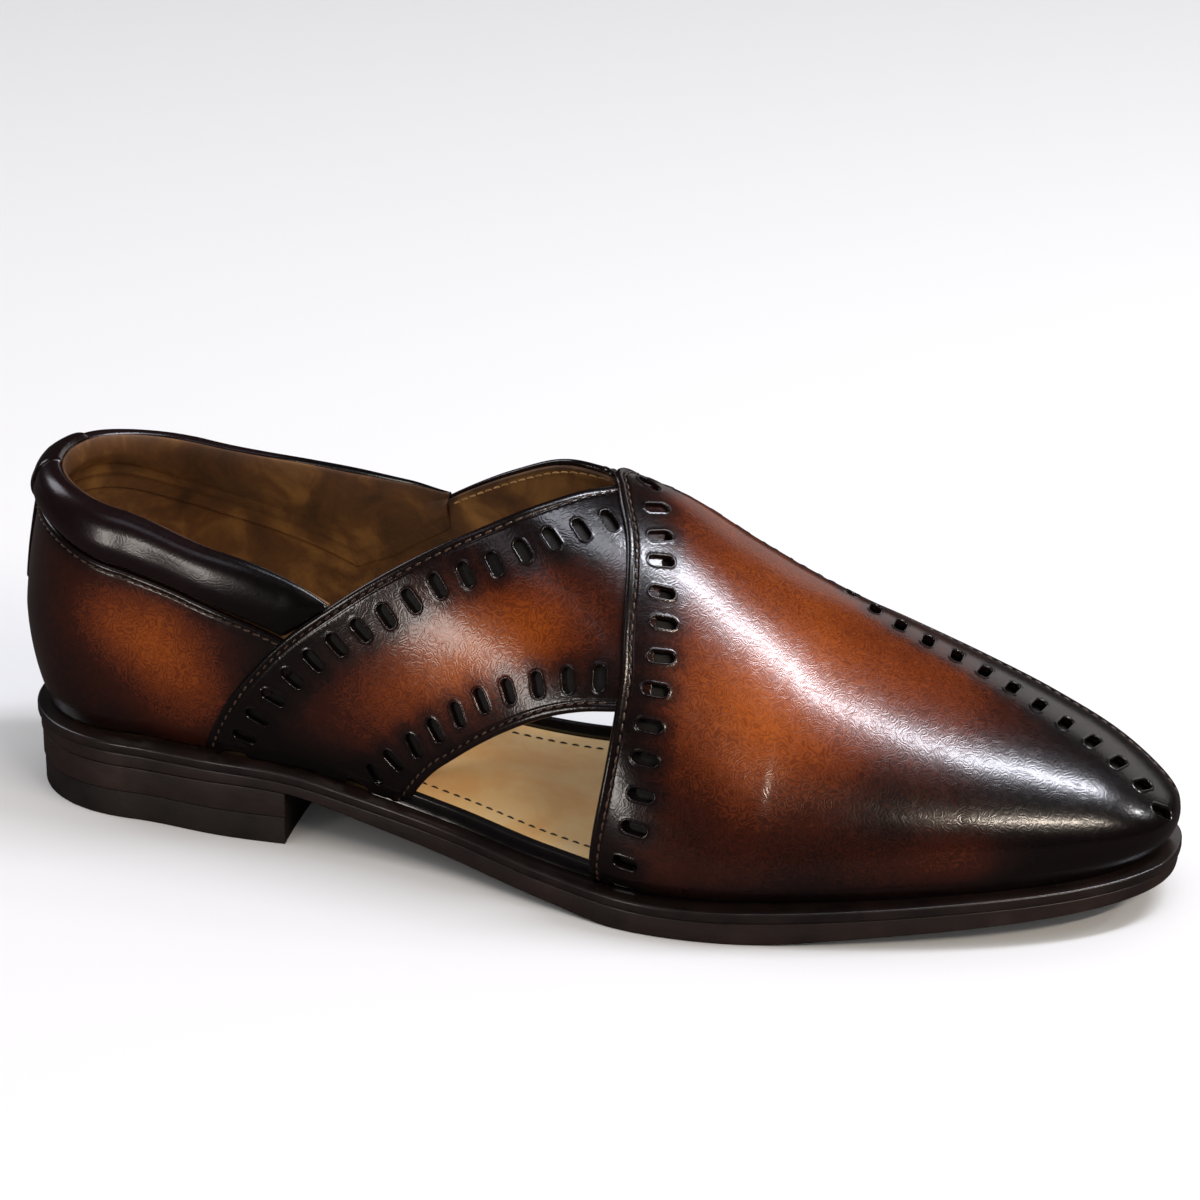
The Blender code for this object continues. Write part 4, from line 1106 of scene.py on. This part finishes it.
def makeStitches(name, material, slotName, rows, look=threadLook):
    # one short thread to a stitch: six sides, fat in the middle, its two ends down in the leather
    along, fat, sink = np.array(stitchShape).T
    along, fat = along * look["long"] / 2, (fat * look["wide"] / 2)[:, None]
    turn = np.linspace(0, 2 * math.pi, 6, endpoint=False)
    at, run, normal = (np.vstack(part)[:, None, None] for part in zip(*rows))
    across = unit(np.cross(normal, run))
    slant = math.radians(look["slant"])
    run, across = (run * math.cos(slant) + across * math.sin(slant),
                   across * math.cos(slant) - run * math.sin(slant))
    points = at + run * along[:, None, None] + across * (fat * np.cos(turn))[..., None]
    points = points + normal * (fat * np.sin(turn) + sink[:, None])[..., None]
    each = len(along) * len(turn)
    ends = np.array([[0, 5, 4, 3], [0, 3, 2, 1]])
    one = np.vstack([gridFaces(len(along), len(turn), True), ends, ends[:, ::-1] + each - len(turn)])
    faces = (one[None] + (np.arange(len(at)) * each)[:, None, None]).reshape(-1, 4)
    makePiece(name, points.reshape(-1, 3), [faces], material, slotName)


strapRows, liningRows = [], []
for side, rollEnd in ((lateral, 94), (medial, 108)):
    top, low = strapTop[side], strapLow[side]
    upper = top[chartPlace(top)[0] > rollEnd]
    for rows, inset, level, edge in ((strapRows, 2.1, levels["strap"] - 0.12, top),
                                     (liningRows, 2.2, levels["lining"] - 0.2, upper)):
        rows.append(stitchPlaces(edge, inset * side, level, end=2))
        rows.append(stitchPlaces(low, -inset * side, level, end=12))
seam = np.vstack([seamLine[lateral][::-1], seamLine[medial][1:]])
vampRow = stitchPlaces(vampEdge, -2.6, levels["vamp"] - 0.15)
seamRow = stitchPlaces(seam, 1.9, levels["base"] - 0.05, pitch=2.6, first=12, end=12)
makeStitches("strapStitches", darkThread, "upper_leather", strapRows)
makeStitches("vampStitches", darkThread, "upper_leather", [vampRow])
makeStitches("collarStitches", darkThread, "upper_leather", [seamRow])
makeStitches("liningStitches", tanThread, "upper_leather", liningRows)


def insoleRow(side, first=2, end=240, inside=6.0):
    # places along a line inside the insole's edge
    s = np.linspace(first, end, 500)
    flat = planPoint(s, side, insoleInset(inside)(s, side))[0]
    line = np.column_stack([flat, soleTop(flat[:, 0]) + soleLook["gap"] + soleLook["insole"] + 0.08])
    run = alongLine(line)
    return pickAt(line, run, np.arange(1.5, run[-1], 3.2))


places = np.vstack([insoleRow(lateral), insoleRow(medial)[::-1]])
row = (places, unit(np.gradient(places, axis=0)), np.tile([0.0, 0.0, 1.0], (len(places), 1)))
makeStitches("insoleStitches", darkThread, "insole_leather", [row], {"long": 2.3, "wide": 0.55, "slant": 0})
print("stitches made")

# ---- floor, light and camera ----
floorLook = {"size": 6.0, "colour": "#dddddd", "inGloss": "#3c3634"}
roomLook = {"seen": 1.0, "diffuse": 0.58, "gloss": 0.02}
# soft boxes in metres: where each stands, the way its first side is laid, its two sides, power, colour
softBoxes = {
    "shoulderBox": ((0.60, 0.21, 1.13), (0.78, 0.62, 0), (0.66, 0.1), 6.8, "#f2f4ff"),
    "shoulderGlow": ((0.61, 0.215, 1.15), (0.78, 0.62, 0), (0.74, 0.24), 3.2, "#f2f4ff"),
    "warmStrip": ((0.88, -0.6, 0.83), (0.69, 0.76, 0), (0.78, 0.045), 7.0, "#fff0de"),
    "topBox": ((0.2, -0.16, 1.24), (0.8, 0.6, 0), (0.3, 0.2), 1.4, "#f0f2ff"),
    "toeGlint": ((1.04, 0.41, 0.72), (-0.6, 0.8, 0), (0.07, 0.07), 1.2, "#ffffff"),
    "strapBox": ((-0.56, -1.06, 0.2), (0, 0, 1), (0.26, 0.2), 1.7, "#fff6ee"),
    "frontBox": ((-0.3, -0.72, 1.0), (1, 0, 0), (0.3, 0.3), 0.3, "#f4f2ff"),
    "heelBox": ((-1.02, 0.18, 0.8), (0, 1, 0), (0.5, 0.5), 3.0, "#f8f6ff"),
    "backBox": ((0.36, 1.4, 0.6), (1, 0, 0), (1.3, 0.5), 1.6, "#fbf4f4"),
}
boxAim = Vector((0.03, 0, 0.05))
cameraLook = {"turn": 15.5, "lift": 23.5, "roll": 0.25, "lens": 119.6, "target": (151.2, 0, 62.7)}


def addToScene(name, data, matrix=Matrix()):
    # an object that isn't part of the shoe, in its place
    made = bpy.data.objects.new(name, data)
    made.matrix_world = matrix
    bpy.context.scene.collection.objects.link(made)
    return made


def makeFloor():
    # one square, pale to the eye and dim in the shoe's gloss
    mesh = bpy.data.meshes.new("floor")
    half = floorLook["size"] / 2
    corners = [(-half, -half, 0), (half, -half, 0), (half, half, 0), (-half, half, 0)]
    mesh.from_pydata(corners, [], [(0, 1, 2, 3)])
    paint = bpy.data.materials.new("paleMattPaint")
    paint.use_nodes = True
    tree = paint.node_tree
    path = addNode(tree, "LightPath", {}).outputs["Is Glossy Ray"]
    seen = addNode(tree, "Mix", {0: path, 6: linear(floorLook["colour"]), 7: linear(floorLook["inGloss"])},
                   data_type="RGBA").outputs[2]
    setInputs(tree, tree.nodes["Principled BSDF"], {"Base Color": seen, "Roughness": 0.9,
                                                    "Specular IOR Level": 0.1})
    mesh.materials.append(paint)
    addToScene("floor", mesh)


def softBox(name, at, along, size, power, colour):
    # a soft box turned to its aim, its first side laid as near as can be to a direction
    lamp = bpy.data.lights.new(name, "AREA")
    lamp.shape, lamp.energy, lamp.color = "RECTANGLE", power, linear(colour)[:3]
    lamp.size, lamp.size_y = size
    place, along = Vector(at), Vector(along)
    back = (place - boxAim).normalized()
    right = (along - back * along.dot(back)).normalized()
    turn = Matrix((right, back.cross(right), back)).transposed().to_4x4()
    addToScene(name, lamp, Matrix.Translation(place) @ turn)


def makeWorld():
    # plain white behind the shoe, a little dimmer as light on it, and dark in its gloss
    world = bpy.data.worlds.new("whiteRoom")
    world.use_nodes = True
    tree = world.node_tree
    path = addNode(tree, "LightPath", {})
    glossy, straight = path.outputs["Is Glossy Ray"], path.outputs["Is Camera Ray"]
    lit = addNode(tree, "Mix", {0: glossy, 2: roomLook["diffuse"], 3: roomLook["gloss"]})
    strength = addNode(tree, "Mix", {0: straight, 2: lit, 3: roomLook["seen"]})
    setInputs(tree, tree.nodes["Background"], {"Color": (1, 1, 1, 1), "Strength": strength})
    bpy.context.scene.world = world


def makeCamera():
    # a metre back from its target, turned from the shoe's outer side towards the toe, lifted and rolled
    turn, lift, roll = (math.radians(cameraLook[key]) for key in ("turn", "lift", "roll"))
    back = Vector((math.sin(turn) * math.cos(lift), -math.cos(turn) * math.cos(lift), math.sin(lift)))
    right = Vector((math.cos(turn), math.sin(turn), 0))
    up = back.cross(right)
    right, up = right * math.cos(roll) + up * math.sin(roll), up * math.cos(roll) - right * math.sin(roll)
    lens = bpy.data.cameras.new("camera")
    lens.lens, lens.sensor_width = cameraLook["lens"], 36.0
    target = (Vector(cameraLook["target"]) + Vector(shift)) * 0.001
    place = Matrix((right, up, back)).transposed().to_4x4()
    place.translation = target + back
    bpy.context.scene.camera = addToScene("camera", lens, place)


makeFloor()
makeWorld()
makeCamera()
for name, look in softBoxes.items():
    softBox(name, *look)
bpy.context.scene.view_settings.view_transform = "Standard"
print("floor, lights and camera set")
